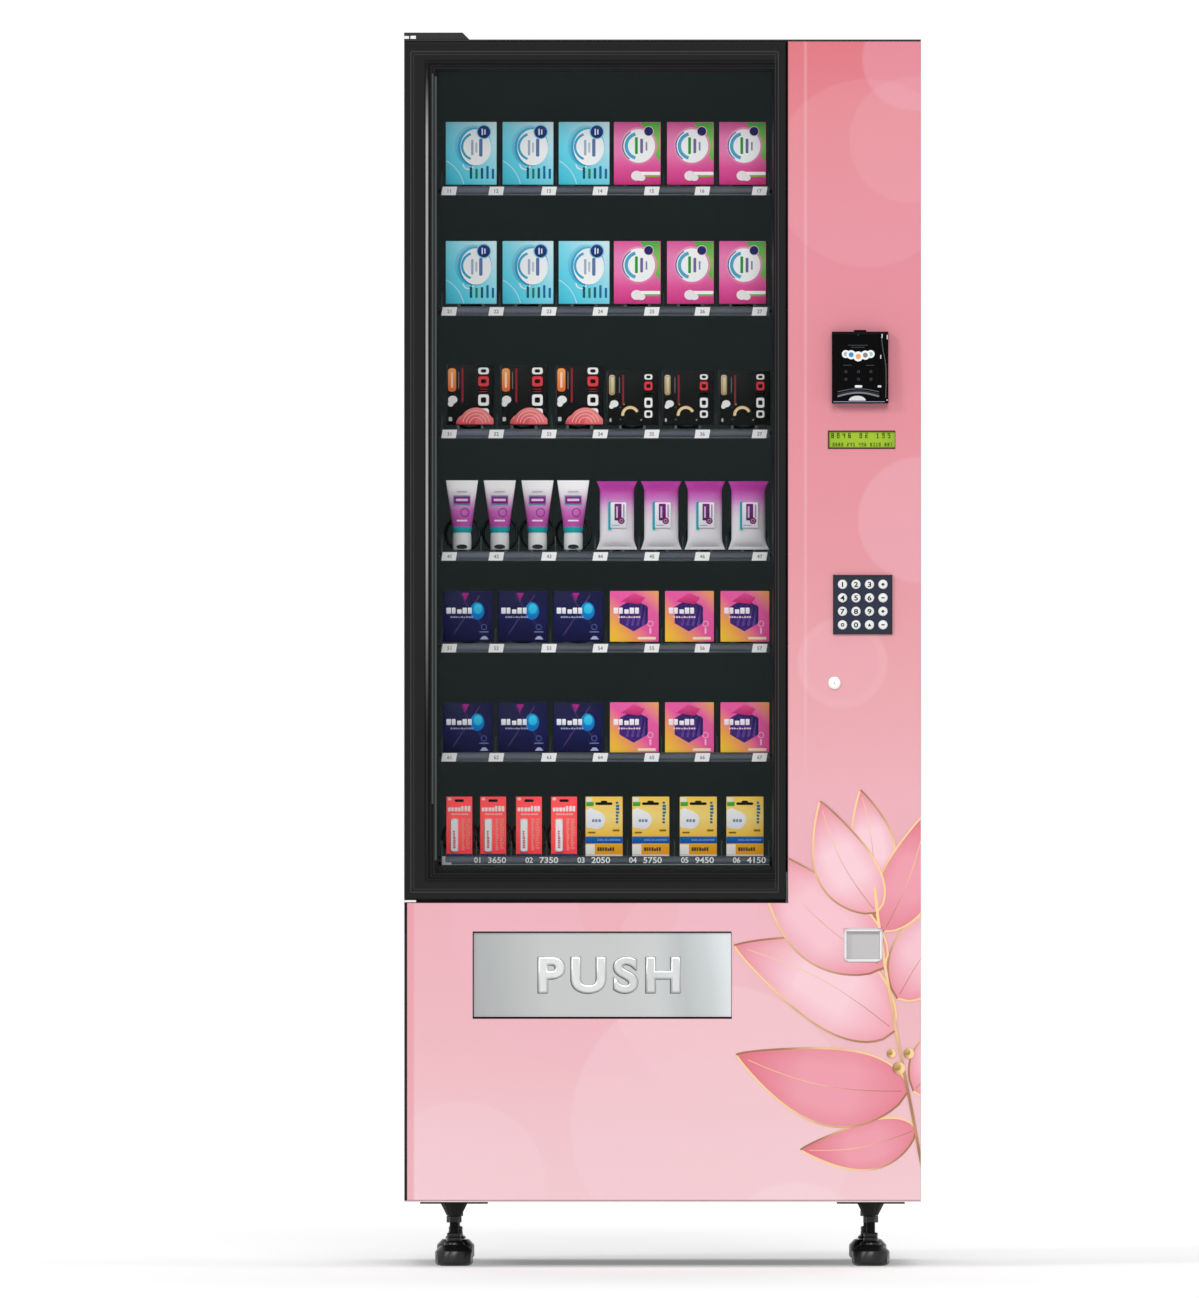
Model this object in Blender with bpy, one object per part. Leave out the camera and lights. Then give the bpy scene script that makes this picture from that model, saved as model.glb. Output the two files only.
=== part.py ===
"""Slim vending machine for hygiene packs: a glass door over seven product trays, and one L-shaped service door.

Metres, +Z up, front towards -Y, +X to the right seen from the front. The origin is on the floor, under the
middle of the machine.
"""

import math

import bmesh
import bpy
from mathutils import Matrix, Vector

MM = 0.001

# Cabinet
CABINET_WIDTH = 770 * MM
CABINET_TOP = 1829 * MM
BASE_UNDERSIDE = 96.7 * MM
BODY_DEPTH = 752 * MM
SHEET = 2 * MM
TOP_PLATE = 2.5 * MM
FLANGE = 20 * MM
COLUMN_WIDTH = 198 * MM

# Fits
GAP = 0.3 * MM
RUN = 0.5 * MM
WELD = 0.6 * MM
OVERRUN = 6 * MM
ROUND_SIDES = 16

# Doors, both hung in front of the cabinet
DOOR_DEPTH = 42 * MM
STANDOFF = 6 * MM
PIVOT_INSET = 9 * MM
PIVOT_DEPTH = 20 * MM
PIN_RADIUS = 4 * MM
PIN_LENGTH = 14 * MM
PIN_PLAY = 0.6 * MM
LIP_SETBACK = 2 * MM
SIDE_PLAY = 3 * MM

# Glass door
GLASS_DOOR_BOTTOM = 547 * MM
LEFT_RAIL = 51.4 * MM
RIGHT_RAIL = 20.9 * MM
TOP_RAIL = 46 * MM
BOTTOM_RAIL = 44.7 * MM
RAIL_WALL = 2.5 * MM
RAIL_FRONT_WALL = 10 * MM
RAIL_FACE_SHARES = (0.02, 0.07, 0.59, 0.62, 0.64, 0.66, 0.69, 0.72, 0.75, 0.80, 0.83, 0.88)
RAIL_CHAMFER = 4 * MM
RIDGE_DROP = 1.5 * MM
GROOVE_DROP = 7 * MM
INNER_RIDGE_DROP = 4.5 * MM
LIP_DROP = 14 * MM
LIP_BACK = 17 * MM
GLASS_COVER = 12 * MM
GLASS = 5 * MM

# Door hinges
COVER_LENGTH = 92 * MM
COVER_SLANT = 10 * MM
COVER_HEIGHT = 10 * MM
COVER_DEPTH = 96 * MM
HINGE_PLATE = 3.2 * MM
HINGE_PLATE_WIDTH = 36 * MM
HINGE_LEG_DROP = 46 * MM
HINGE_LEG = 3 * MM

# Service door
FASCIA_INSET = 4.5 * MM
LOWER_PANEL_TOP = 542.4 * MM
FASCIA_SHEET = 1.5 * MM
FASCIA_EDGE = 1.2 * MM

# Cam lock, placed from the column's left edge
LOCK_INSET = 69 * MM
LOCK_Z = 870 * MM
LOCK_RADIUS = 9.7 * MM
LOCK_PROUD = 3.2 * MM
LOCK_CHAMFER = 0.9 * MM
BARREL_RADIUS = 7.5 * MM
BARREL_PLAY = 0.4 * MM
CAM_LENGTH = 62 * MM
CAM_WIDTH = 14.4 * MM
CAM_THICKNESS = 3 * MM
CAM_CLEARANCE = 2 * MM

# Card reader, placed from the column's middle like everything below it
READER_OFFSET = 8.3 * MM
READER_Z = 1340 * MM
READER_WIDTH = 84 * MM
READER_HEIGHT = 107 * MM
READER_PROUD = 24 * MM
READER_SLOPE = 5 * MM
READER_EDGE = 4 * MM
READER_BUMP_WIDTH = 18 * MM
READER_BUMP = 2.5 * MM
READER_SLOT_INSET = 13 * MM
READER_SLOT_WIDTH = 2.2 * MM
READER_SLOT_DEPTH = 11 * MM
READER_NECK_WIDTH = 60 * MM
READER_NECK_HEIGHT = 80 * MM
READER_NECK = 14 * MM

# Display
DISPLAY_OFFSET = 10.5 * MM
DISPLAY_Z = 1232.5 * MM
DISPLAY_WIDTH = 100 * MM
DISPLAY_HEIGHT = 27 * MM
DISPLAY_SETBACK = 0.6 * MM
DISPLAY_FLANGE = 5 * MM
DISPLAY_DEPTH = 12 * MM

# Keypad
KEYPAD_OFFSET = 12.3 * MM
KEYPAD_Z = 987 * MM
KEYPAD_SIZE = 88.5 * MM
KEYPAD_BODY = 80 * MM
KEYPAD_PROUD = 4 * MM
KEYPAD_DEPTH = 8 * MM
KEYPAD_EDGE = 1 * MM
KEY_ROWS = 4
KEY_PITCH = 20.1 * MM
KEY_RADIUS = 7 * MM
KEY_PLAY = 0.5 * MM
KEY_PROUD = 3 * MM
KEY_CHAMFER = 0.9 * MM
KEY_FLANGE_RADIUS = 8.6 * MM
KEY_FLANGE = 1.5 * MM

# Push flap over the delivery port, which lies between the cabinet's left side and the column
PORT_LEFT_MARGIN = 104 * MM
PORT_RIGHT_MARGIN = 84.5 * MM
PORT_BOTTOM = 373 * MM
PORT_HEIGHT = 125 * MM
FLAP_SHEET = 2 * MM
FLAP_MARGIN = 5 * MM
FLAP_PIN_RADIUS = 3 * MM
FLAP_PIN_REACH = 8 * MM
FLAP_PIN_PLAY = 0.5 * MM
FLAP_EAR = 2.5 * MM
FLAP_EAR_SIZE = 7 * MM
FLAP_CLEARANCE = 0.8 * MM

# Coin return
COIN_OFFSET = 13 * MM
COIN_Z = 479.5 * MM
COIN_WIDTH = 58 * MM
COIN_HEIGHT = 50 * MM
COIN_CORNER = 9 * MM
COIN_PROUD = 3 * MM
COIN_RIM = 4 * MM
COIN_WALL = 2 * MM
COIN_DEPTH = 44 * MM
COIN_FLAP = 2 * MM
COIN_FLAP_SETBACK = 7 * MM
COIN_FLAP_PLAY = 0.6 * MM
COIN_PIN_RADIUS = 1.4 * MM
COIN_PIN_PLAY = 0.4 * MM
COIN_PIN_DROP = 4 * MM

# Product trays, their floors at shares of the height from the glass door's foot to the cabinet's top
TRAY_LEVEL_SHARES = (0.83, 0.6896, 0.5468, 0.4041, 0.2972, 0.17, 0.0491)
TRAY_LEFT_MARGIN = 54.7 * MM
TRAY_RIGHT_MARGIN = 27.3 * MM
TRAY_SETBACK = 102 * MM
TRAY_DEPTH = 520 * MM
TRAY_SHEET = 1.5 * MM
STRIP_HEIGHT = 13 * MM
STRIP_LIP = 1.5 * MM
DIVIDER_HEIGHT = 24 * MM
DIVIDER_START = 50 * MM
MOTOR_WALL_HEIGHT = 72 * MM
MOTOR_WIDTH = 34 * MM
MOTOR_HEIGHT = 40 * MM
MOTOR_DEPTH = 26 * MM
RUNNER_REACH = 8 * MM
RUNNER_SETBACK = 22 * MM

# Spirals of the top tray, their radius a share of the tray's width as the lanes are
SPIRAL_RADIUS_SHARE = 0.0632
SPIRAL_WIRE = 4 * MM
SPIRAL_TURNS = 8
SPIRAL_CURL_POINTS = 8
SPIRAL_FRONT = 52 * MM
SPIRAL_CLEARANCE = 1 * MM
SPIRAL_STUB = 9 * MM
SPIRAL_BEND = 6 * MM
BEND_POINTS = 3

# Packs on show, one at the front of each lane: their height and thickness, and their share of the tray's width
PACK_SIZES = {
    "sky_carton": (94 * MM, 36 * MM),
    "rose_carton": (94 * MM, 36 * MM),
    "coral_carton": (90 * MM, 36 * MM),
    "moon_carton": (81 * MM, 36 * MM),
    "tube": (104 * MM, 30 * MM),
    "pouch": (103 * MM, 32 * MM),
    "navy_carton": (76 * MM, 34 * MM),
    "sunset_carton": (76 * MM, 34 * MM),
    "stick_card": (90 * MM, 20 * MM),
    "balm_card": (90 * MM, 20 * MM),
}
PACK_WIDTH_SHARES = {
    "sky_carton": 0.155,
    "rose_carton": 0.143,
    "coral_carton": 0.147,
    "moon_carton": 0.159,
    "tube": 0.098,
    "pouch": 0.124,
    "navy_carton": 0.151,
    "sunset_carton": 0.149,
    "stick_card": 0.079,
    "balm_card": 0.113,
}
PACK_SETBACK = 4 * MM
PACK_MAT = 1 * MM
PACK_MAT_DEPTH = 40 * MM
CARD_BOARD = 2.5 * MM
CARD_GRIP = 0.2 * MM
BLISTER_RISE = 8 * MM
TUBE_CAP_HEIGHT = 27 * MM
TUBE_CAP_RADIUS = 14 * MM
TUBE_CRIMP = 2.5 * MM
POUCH_CRIMP = 8 * MM
POUCH_CRIMP_THICKNESS = 2.5 * MM
PACK_SIDES = 12
PACK_WAIST_SHARE = 0.88
POUCH_BELLY_SHARE = 0.8
STICK_BLISTER_SHARES = (0.5, 0.66)
BALM_BLISTER_SHARES = (0.42, 0.5)

# Lane centres, as shares of the tray's width
CARTON_SHARES = (0.091, 0.264, 0.435, 0.597, 0.759, 0.918)
DARK_CARTON_SHARES = (0.088, 0.252, 0.421, 0.582, 0.751, 0.923)
TUBE_SHARES = (0.063, 0.178, 0.293, 0.402, 0.535, 0.670, 0.803, 0.936)
NAVY_CARTON_SHARES = (0.081, 0.248, 0.417, 0.588, 0.756, 0.925)
CARD_SHARES = (0.055, 0.158, 0.267, 0.374, 0.496, 0.638, 0.783, 0.925)
TRAY_STOCK = (
    (CARTON_SHARES, ("sky_carton",) * 3 + ("rose_carton",) * 3),
    (CARTON_SHARES, ("sky_carton",) * 3 + ("rose_carton",) * 3),
    (DARK_CARTON_SHARES, ("coral_carton",) * 3 + ("moon_carton",) * 3),
    (TUBE_SHARES, ("tube",) * 4 + ("pouch",) * 4),
    (NAVY_CARTON_SHARES, ("navy_carton",) * 3 + ("sunset_carton",) * 3),
    (NAVY_CARTON_SHARES, ("navy_carton",) * 3 + ("sunset_carton",) * 3),
    (CARD_SHARES, ("stick_card",) * 4 + ("balm_card",) * 4),
)

# Delivery bin
BIN_SHEET = 2 * MM
BIN_FLOOR = 362 * MM
BIN_TOP = 588 * MM
BIN_BACK_TOP = 100 * MM
BIN_BACK_BOTTOM = 190 * MM
BIN_BACK_RISE = 12 * MM
BIN_MOUTH_MARGIN = 8 * MM
BIN_MOUTH_TOP = 506 * MM
BIN_TONGUE_SETBACK = 11 * MM

# Control box in the column
CONTROL_WIDTH = 130 * MM
CONTROL_DEPTH = 240 * MM
CONTROL_HEIGHT = 300 * MM
CONTROL_BOTTOM = 900 * MM
CONTROL_SETBACK = 110 * MM
CONTROL_SHEET = 1.5 * MM

# Rear panel
LOUVRE_COUNT = 7
LOUVRE_WIDTH = 220 * MM
LOUVRE_HEIGHT = 6 * MM
LOUVRE_PITCH = 18 * MM
LOUVRE_BOTTOM = 190 * MM
INLET_INSET = 85 * MM
INLET_Z = 160 * MM
INLET_WIDTH = 50 * MM
INLET_HEIGHT = 34 * MM
INLET_DEPTH = 26 * MM
INLET_WALL = 2 * MM

# Levelling feet
FOOT_INSET = 74 * MM
FOOT_SETBACK = 62 * MM
FOOT_SIDES = 12
FOOT_BRACKET_WIDTH = 101 * MM
FOOT_BRACKET_DEPTH = 90 * MM
FOOT_BRACKET = 3.5 * MM
CONE_TOP_RADIUS = 21 * MM
CONE_FOOT_RADIUS = 11 * MM
CONE_HEIGHT = 18.5 * MM
STUD_RADIUS = 5 * MM
STUD_REACH = 14 * MM
STUD_PLAY = 0.6 * MM
NUT_RADIUS = 11.3 * MM
NUT_HEIGHT = 9.6 * MM
STEM_RADIUS = 7 * MM
COLLAR_RADIUS = 10.8 * MM
COLLAR_TOP = 49 * MM
FLARE_RADIUS = 15.3 * MM
FLARE_TOP = 36 * MM
PAD_RADIUS = 28.4 * MM
PAD_SHOULDER_RADIUS = 21 * MM
PAD_SHOULDER = 30 * MM
PAD_EDGE = 22.4 * MM
PAD_ROLL = 5.2 * MM
PAD_REST_RADIUS = 20 * MM

# Places worked out from the sizes above
LEFT = -CABINET_WIDTH / 2
RIGHT = CABINET_WIDTH / 2
OVERALL_DEPTH = READER_PROUD + DOOR_DEPTH + STANDOFF + BODY_DEPTH
FRONT = READER_PROUD - OVERALL_DEPTH / 2
DOOR_BACK = FRONT + DOOR_DEPTH
BODY_FRONT = DOOR_BACK + STANDOFF
BACK = BODY_FRONT + BODY_DEPTH
SKIN_BACK = FRONT + FASCIA_SHEET
BASE_FACE = BASE_UNDERSIDE + SHEET
TOP_UNDERSIDE = CABINET_TOP - TOP_PLATE
WALL_BOTTOM = BASE_FACE + GAP
WALL_TOP = TOP_UNDERSIDE - GAP
WALL_BACK = BACK - SHEET - GAP
DOOR_TOP = TOP_UNDERSIDE - RUN
FASCIA_BOTTOM = BASE_FACE + RUN
COLUMN_LEFT = RIGHT - COLUMN_WIDTH
COLUMN_MIDDLE = RIGHT - COLUMN_WIDTH / 2
LOCK_X = COLUMN_LEFT + LOCK_INSET
READER_X = COLUMN_MIDDLE + READER_OFFSET
DISPLAY_X = COLUMN_MIDDLE + DISPLAY_OFFSET
KEYPAD_X = COLUMN_MIDDLE + KEYPAD_OFFSET
COIN_X = COLUMN_MIDDLE + COIN_OFFSET
PARTITION_LEFT = COLUMN_LEFT + RUN
PARTITION_RIGHT = PARTITION_LEFT + SHEET
GLASS_DOOR_RIGHT = COLUMN_LEFT - SIDE_PLAY
PIVOT_Y = FRONT + PIVOT_DEPTH
DOOR_PIVOT_X = LEFT + PIVOT_INSET
FASCIA_PIVOT_X = RIGHT - PIVOT_INSET
BAY_HEIGHT = CABINET_TOP - GLASS_DOOR_BOTTOM
TRAY_LEVELS = tuple(GLASS_DOOR_BOTTOM + share * BAY_HEIGHT for share in TRAY_LEVEL_SHARES)
TRAY_LEFT = LEFT + TRAY_LEFT_MARGIN
TRAY_RIGHT = PARTITION_LEFT - TRAY_RIGHT_MARGIN
TRAY_WIDTH = TRAY_RIGHT - TRAY_LEFT
TRAY_FRONT = BODY_FRONT + TRAY_SETBACK
TRAY_BACK = TRAY_FRONT + TRAY_DEPTH
SPIRAL_RADIUS = SPIRAL_RADIUS_SHARE * TRAY_WIDTH
PORT_LEFT = LEFT + PORT_LEFT_MARGIN
PORT_RIGHT = COLUMN_LEFT - PORT_RIGHT_MARGIN
PORT_TOP = PORT_BOTTOM + PORT_HEIGHT
FLAP_Y = SKIN_BACK + FLAP_CLEARANCE + FLAP_PIN_RADIUS
FLAP_PIN_Z = PORT_TOP + FLAP_PIN_RADIUS + FLAP_CLEARANCE
COIN_PIN_Z = COIN_Z + COIN_HEIGHT / 2 - COIN_RIM - COIN_PIN_DROP
FOOT_TOP = BASE_UNDERSIDE - FOOT_BRACKET - CONE_HEIGHT - GAP


def clear_scene():
    for obj in list(bpy.data.objects):
        bpy.data.objects.remove(obj, do_unlink=True)


def finish(name, colour, roughness, metallic=0.0, alpha=1.0):
    """A Principled material in one colour."""
    material = bpy.data.materials.new(name)
    material.use_nodes = True
    shader = material.node_tree.nodes["Principled BSDF"]
    shader.inputs["Base Color"].default_value = (*colour, 1.0)
    shader.inputs["Roughness"].default_value = roughness
    shader.inputs["Metallic"].default_value = metallic
    shader.inputs["Alpha"].default_value = alpha
    material.diffuse_color = (*colour, alpha)
    return material


def loft(name, rings, material=None, round_trip=False):
    """A closed skin over rings with one number of points, capped at both ends or joined back to the first."""
    mesh = bpy.data.meshes.new(name)
    shape = bmesh.new()
    rows = [[shape.verts.new(point) for point in ring] for ring in rings]
    pairs = list(zip(rows, rows[1:]))
    if round_trip:
        pairs.append((rows[-1], rows[0]))
    else:
        shape.faces.new(rows[0])
        shape.faces.new(list(reversed(rows[-1])))
    for first, second in pairs:
        count = len(first)
        for i in range(count):
            j = (i + 1) % count
            shape.faces.new((first[j], first[i], second[i], second[j]))
    bmesh.ops.recalc_face_normals(shape, faces=shape.faces)
    shape.to_mesh(mesh)
    shape.free()
    obj = bpy.data.objects.new(name, mesh)
    bpy.context.scene.collection.objects.link(obj)
    if material:
        mesh.materials.append(material)
    return obj


def block(name, x, y, z, material=None):
    """A box between two values on each axis."""
    rings = [[(x[0], at, z[0]), (x[1], at, z[0]), (x[1], at, z[1]), (x[0], at, z[1])] for at in y]
    return loft(name, rings, material)


def plate(name, outline, y, material=None):
    """An outline in X and Z, carried through the machine's depth between two values of Y."""
    return loft(name, [[(px, at, pz) for px, pz in outline] for at in y], material)


def channel(name, outline, z, material=None):
    """An outline in X and Y, carried upwards between two heights."""
    return loft(name, [[(px, py, at) for px, py in outline] for at in z], material)


def side_profile(name, outline, x, material=None):
    """An outline in Y and Z, carried across between two values of X."""
    return loft(name, [[(at, py, pz) for py, pz in outline] for at in x], material)


def circle(radius, sides):
    """Points on a circle, with a flat side downwards."""
    angles = [2 * math.pi * (i + 0.5) / sides for i in range(sides)]
    return [(radius * math.cos(angle), radius * math.sin(angle)) for angle in angles]


def turned(name, profile, sides, place, material):
    """A body turned about an axis, from its radii and places on that axis."""
    rings = [[place(u, v, along) for u, v in circle(radius, sides)] for radius, along in profile]
    return loft(name, rings, material)


def upright(name, centre, profile, sides, material=None):
    """A body turned about a vertical axis."""
    return turned(name, profile, sides, lambda u, v, z: (centre[0] + u, centre[1] + v, z), material)


def turned_y(name, centre, profile, sides, material=None):
    """A body turned about an axis along the machine's depth."""
    return turned(name, profile, sides, lambda u, v, y: (centre[0] + u, y, centre[1] + v), material)


def turned_x(name, centre, profile, sides, material=None):
    """A body turned about an axis across the machine."""
    return turned(name, profile, sides, lambda u, v, x: (x, centre[0] + u, centre[1] + v), material)


def bar(radius, ends):
    """The profile of a plain round bar between two places on its axis."""
    return [(radius, end) for end in ends]


def rounded(x, z, corner, points=4):
    """A rectangle's outline in X and Z with round corners."""
    spots = (
        (x[1] - corner, z[1] - corner, 0.0),
        (x[0] + corner, z[1] - corner, 0.5 * math.pi),
        (x[0] + corner, z[0] + corner, math.pi),
        (x[1] - corner, z[0] + corner, 1.5 * math.pi),
    )
    outline = []
    for cx, cz, start in spots:
        for i in range(points):
            angle = start + 0.5 * math.pi * i / (points - 1)
            outline.append((cx + corner * math.cos(angle), cz + corner * math.sin(angle)))
    return outline


def apply_booleans(base, tools, operation):
    """The base with each tool joined to it or cut from it, and the tools removed."""
    for tool in tools:
        modifier = base.modifiers.new(tool.name, "BOOLEAN")
        modifier.operation = operation
        modifier.object = tool
    bpy.context.view_layer.update()
    graph = bpy.context.evaluated_depsgraph_get()
    mesh = bpy.data.meshes.new_from_object(base.evaluated_get(graph))
    base.modifiers.clear()
    base.data = mesh
    for tool in tools:
        bpy.data.objects.remove(tool, do_unlink=True)
    return base


def weld(base, *tools):
    return apply_booleans(base, tools, "UNION")


def cut(base, *tools):
    return apply_booleans(base, tools, "DIFFERENCE")


def set_origin(obj, point):
    """Moves the object's origin onto its joint's axis and leaves its shape in place."""
    obj.data.transform(Matrix.Translation(-Vector(point)))
    obj.location = point
    return obj


def smooth(obj, angle=35):
    obj.data.shade_smooth()
    obj.data.set_sharp_from_angle(angle=math.radians(angle))
    return obj


def span(centre, size):
    return (centre - size / 2, centre + size / 2)


def lane_centres(shares):
    return [TRAY_LEFT + share * TRAY_WIDTH for share in shares]


# Cabinet walls
def side_wall(name, outer, inward, material):
    """A folded side wall with a return flange at each end."""
    inner = outer + inward * SHEET
    flange = outer + inward * FLANGE
    outline = [
        (outer, BODY_FRONT), (outer, WALL_BACK), (flange, WALL_BACK), (flange, WALL_BACK - SHEET),
        (inner, WALL_BACK - SHEET), (inner, BODY_FRONT + SHEET),
        (flange, BODY_FRONT + SHEET), (flange, BODY_FRONT),
    ]
    return channel(name, outline, (WALL_BOTTOM, WALL_TOP), material)


def runners(name, wall, end):
    """Ledges under the trays' edges, from inside a wall to their free end."""
    made = []
    x = sorted((wall, end))
    y = (TRAY_FRONT + RUNNER_SETBACK, TRAY_BACK)
    for i, level in enumerate(TRAY_LEVELS):
        top = level - TRAY_SHEET - GAP
        made.append(block(f"{name}_runner_{i}", x, y, (top - SHEET, top)))
    return made


def build_partition(material):
    """The wall between the product bay and the column, with the flange that the cam lock catches behind."""
    outline = [
        (PARTITION_LEFT, BODY_FRONT), (PARTITION_LEFT, WALL_BACK), (PARTITION_RIGHT, WALL_BACK),
        (PARTITION_RIGHT, BODY_FRONT + SHEET), (PARTITION_LEFT + FLANGE, BODY_FRONT + SHEET),
        (PARTITION_LEFT + FLANGE, BODY_FRONT),
    ]
    wall = channel("column_partition", outline, (WALL_BOTTOM, WALL_TOP), material)
    return weld(wall, *runners("partition", PARTITION_LEFT + WELD, TRAY_RIGHT - RUNNER_REACH))


def pivot_pin(name, x, z):
    return upright(name, (x, PIVOT_Y), bar(PIN_RADIUS, z), ROUND_SIDES)


def pivot_hole(name, x, z):
    return upright(name, (x, PIVOT_Y), bar(PIN_RADIUS + PIN_PLAY, z), ROUND_SIDES)


def build_top(material):
    """The top plate, which reaches over both doors and carries their upper pins."""
    top = block("top_panel", (LEFT, RIGHT), (FRONT + LIP_SETBACK, BACK), (TOP_UNDERSIDE, CABINET_TOP), material)
    pins = [
        pivot_pin(f"top_pin_{x:.3f}", x, (TOP_UNDERSIDE - PIN_LENGTH, TOP_UNDERSIDE + WELD))
        for x in (DOOR_PIVOT_X, FASCIA_PIVOT_X)
    ]
    return weld(top, *pins)


def foot_places():
    """Front left, front right, rear left and rear right."""
    return [
        (x, y)
        for y in (BODY_FRONT + FOOT_SETBACK, BACK - FOOT_SETBACK)
        for x in (LEFT + FOOT_INSET, RIGHT - FOOT_INSET)
    ]


def build_base(material):
    """The floor pan with the service door's lower pin, and the four foot brackets under it."""
    pan = block("base_pan", (LEFT, RIGHT), (FRONT + LIP_SETBACK, BACK), (BASE_UNDERSIDE, BASE_FACE), material)
    parts = [pivot_pin("base_pin", FASCIA_PIVOT_X, (BASE_FACE - WELD, BASE_FACE + PIN_LENGTH))]
    bores = []
    bracket_foot = BASE_UNDERSIDE - FOOT_BRACKET
    for i, (x, y) in enumerate(foot_places()):
        z = (bracket_foot, BASE_UNDERSIDE + WELD)
        parts.append(block(f"bracket_{i}", span(x, FOOT_BRACKET_WIDTH), span(y, FOOT_BRACKET_DEPTH), z))
        cone = [(CONE_FOOT_RADIUS, bracket_foot - CONE_HEIGHT), (CONE_TOP_RADIUS, bracket_foot + WELD)]
        parts.append(upright(f"cone_{i}", (x, y), cone, FOOT_SIDES))
        bore = bar(STUD_RADIUS + STUD_PLAY, (FOOT_TOP - OVERRUN, FOOT_TOP + STUD_REACH + STUD_PLAY))
        bores.append(upright(f"bore_{i}", (x, y), bore, FOOT_SIDES))
    return cut(weld(pan, *parts), *bores)


def build_rear(material):
    """The rear panel with ventilation slots and a recessed supply inlet."""
    rear = block("rear_panel", (LEFT, RIGHT), (BACK - SHEET, BACK), (WALL_BOTTOM, WALL_TOP), material)
    inlet_x = LEFT + INLET_INSET
    cup = block(
        "inlet_cup",
        span(inlet_x, INLET_WIDTH + 2 * INLET_WALL),
        (BACK - SHEET - INLET_DEPTH, BACK - SHEET + WELD),
        span(INLET_Z, INLET_HEIGHT + 2 * INLET_WALL),
    )
    recess = block(
        "inlet_recess",
        span(inlet_x, INLET_WIDTH),
        (BACK - SHEET - INLET_DEPTH + INLET_WALL, BACK + OVERRUN),
        span(INLET_Z, INLET_HEIGHT),
    )
    slots = [
        block(
            f"louvre_{i}",
            span(0.0, LOUVRE_WIDTH),
            (BACK - SHEET - OVERRUN, BACK + OVERRUN),
            span(LOUVRE_BOTTOM + i * LOUVRE_PITCH, LOUVRE_HEIGHT),
        )
        for i in range(LOUVRE_COUNT)
    ]
    return cut(weld(rear, cup), recess, *slots)


# Product trays and what stands on them
def build_tray(number, level, shares, material):
    """A tray: floor, price strip, side walls, lane dividers, and the rear wall with one motor block per lane."""
    centres = lane_centres(shares)
    foot = level - TRAY_SHEET
    walls = [span((a + b) / 2, TRAY_SHEET) for a, b in zip(centres, centres[1:])]
    outline = [(TRAY_LEFT, foot), (TRAY_RIGHT, foot)]
    outline += [(TRAY_RIGHT, level + DIVIDER_HEIGHT), (TRAY_RIGHT - TRAY_SHEET, level + DIVIDER_HEIGHT)]
    outline.append((TRAY_RIGHT - TRAY_SHEET, level))
    for low, high in reversed(walls):
        outline += [(high, level), (high, level + DIVIDER_HEIGHT), (low, level + DIVIDER_HEIGHT), (low, level)]
    outline.append((TRAY_LEFT + TRAY_SHEET, level))
    outline += [(TRAY_LEFT + TRAY_SHEET, level + DIVIDER_HEIGHT), (TRAY_LEFT, level + DIVIDER_HEIGHT)]
    wall_back = TRAY_BACK - MOTOR_DEPTH
    wall_front = wall_back - TRAY_SHEET
    name = f"product_tray_{number}"
    tray = plate(name, outline, (TRAY_FRONT + DIVIDER_START, wall_front + WELD), material)
    across = (TRAY_LEFT, TRAY_RIGHT)
    front = (TRAY_FRONT, TRAY_FRONT + TRAY_SHEET)
    parts = [
        block(f"{name}_floor", across, (TRAY_FRONT, TRAY_FRONT + DIVIDER_START + WELD), (foot, level)),
        block(f"{name}_strip", across, front, (level - STRIP_HEIGHT, level + STRIP_LIP)),
        block(f"{name}_wall", across, (wall_front, wall_back), (foot, level + MOTOR_WALL_HEIGHT)),
    ]
    for i, x in enumerate(centres):
        z = span(level + spiral_height(), MOTOR_HEIGHT)
        parts.append(block(f"{name}_motor_{i}", span(x, MOTOR_WIDTH), (wall_back - WELD, TRAY_BACK), z))
    return weld(tray, *parts)


def spiral_height():
    """From a tray's floor to its spirals' axis."""
    return SPIRAL_CLEARANCE + SPIRAL_RADIUS + SPIRAL_WIRE / 2


def carton(name, x, z, size):
    width, height, thickness = size
    y = (TRAY_FRONT + PACK_SETBACK, TRAY_FRONT + PACK_SETBACK + thickness)
    return block(name, span(x, width), y, (z, z + height))


def tube_pack(name, x, z, size):
    """A tube that stands on its cap: round at the cap, flat at the crimp."""
    width, height, thickness = size
    y = TRAY_FRONT + PACK_SETBACK + thickness / 2
    levels = (
        (TUBE_CAP_RADIUS, TUBE_CAP_RADIUS, 0.0),
        (TUBE_CAP_RADIUS, TUBE_CAP_RADIUS, TUBE_CAP_HEIGHT),
        ((TUBE_CAP_RADIUS + width / 2) / 2, TUBE_CAP_RADIUS, (TUBE_CAP_HEIGHT + height) / 2),
        (width / 2, TUBE_CRIMP / 2, height),
    )
    rings = []
    for half_width, half_depth, rise in levels:
        ring = [(x + half_width * u, y + half_depth * v, z + rise) for u, v in circle(1.0, PACK_SIDES)]
        rings.append(ring)
    return loft(name, rings)


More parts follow.
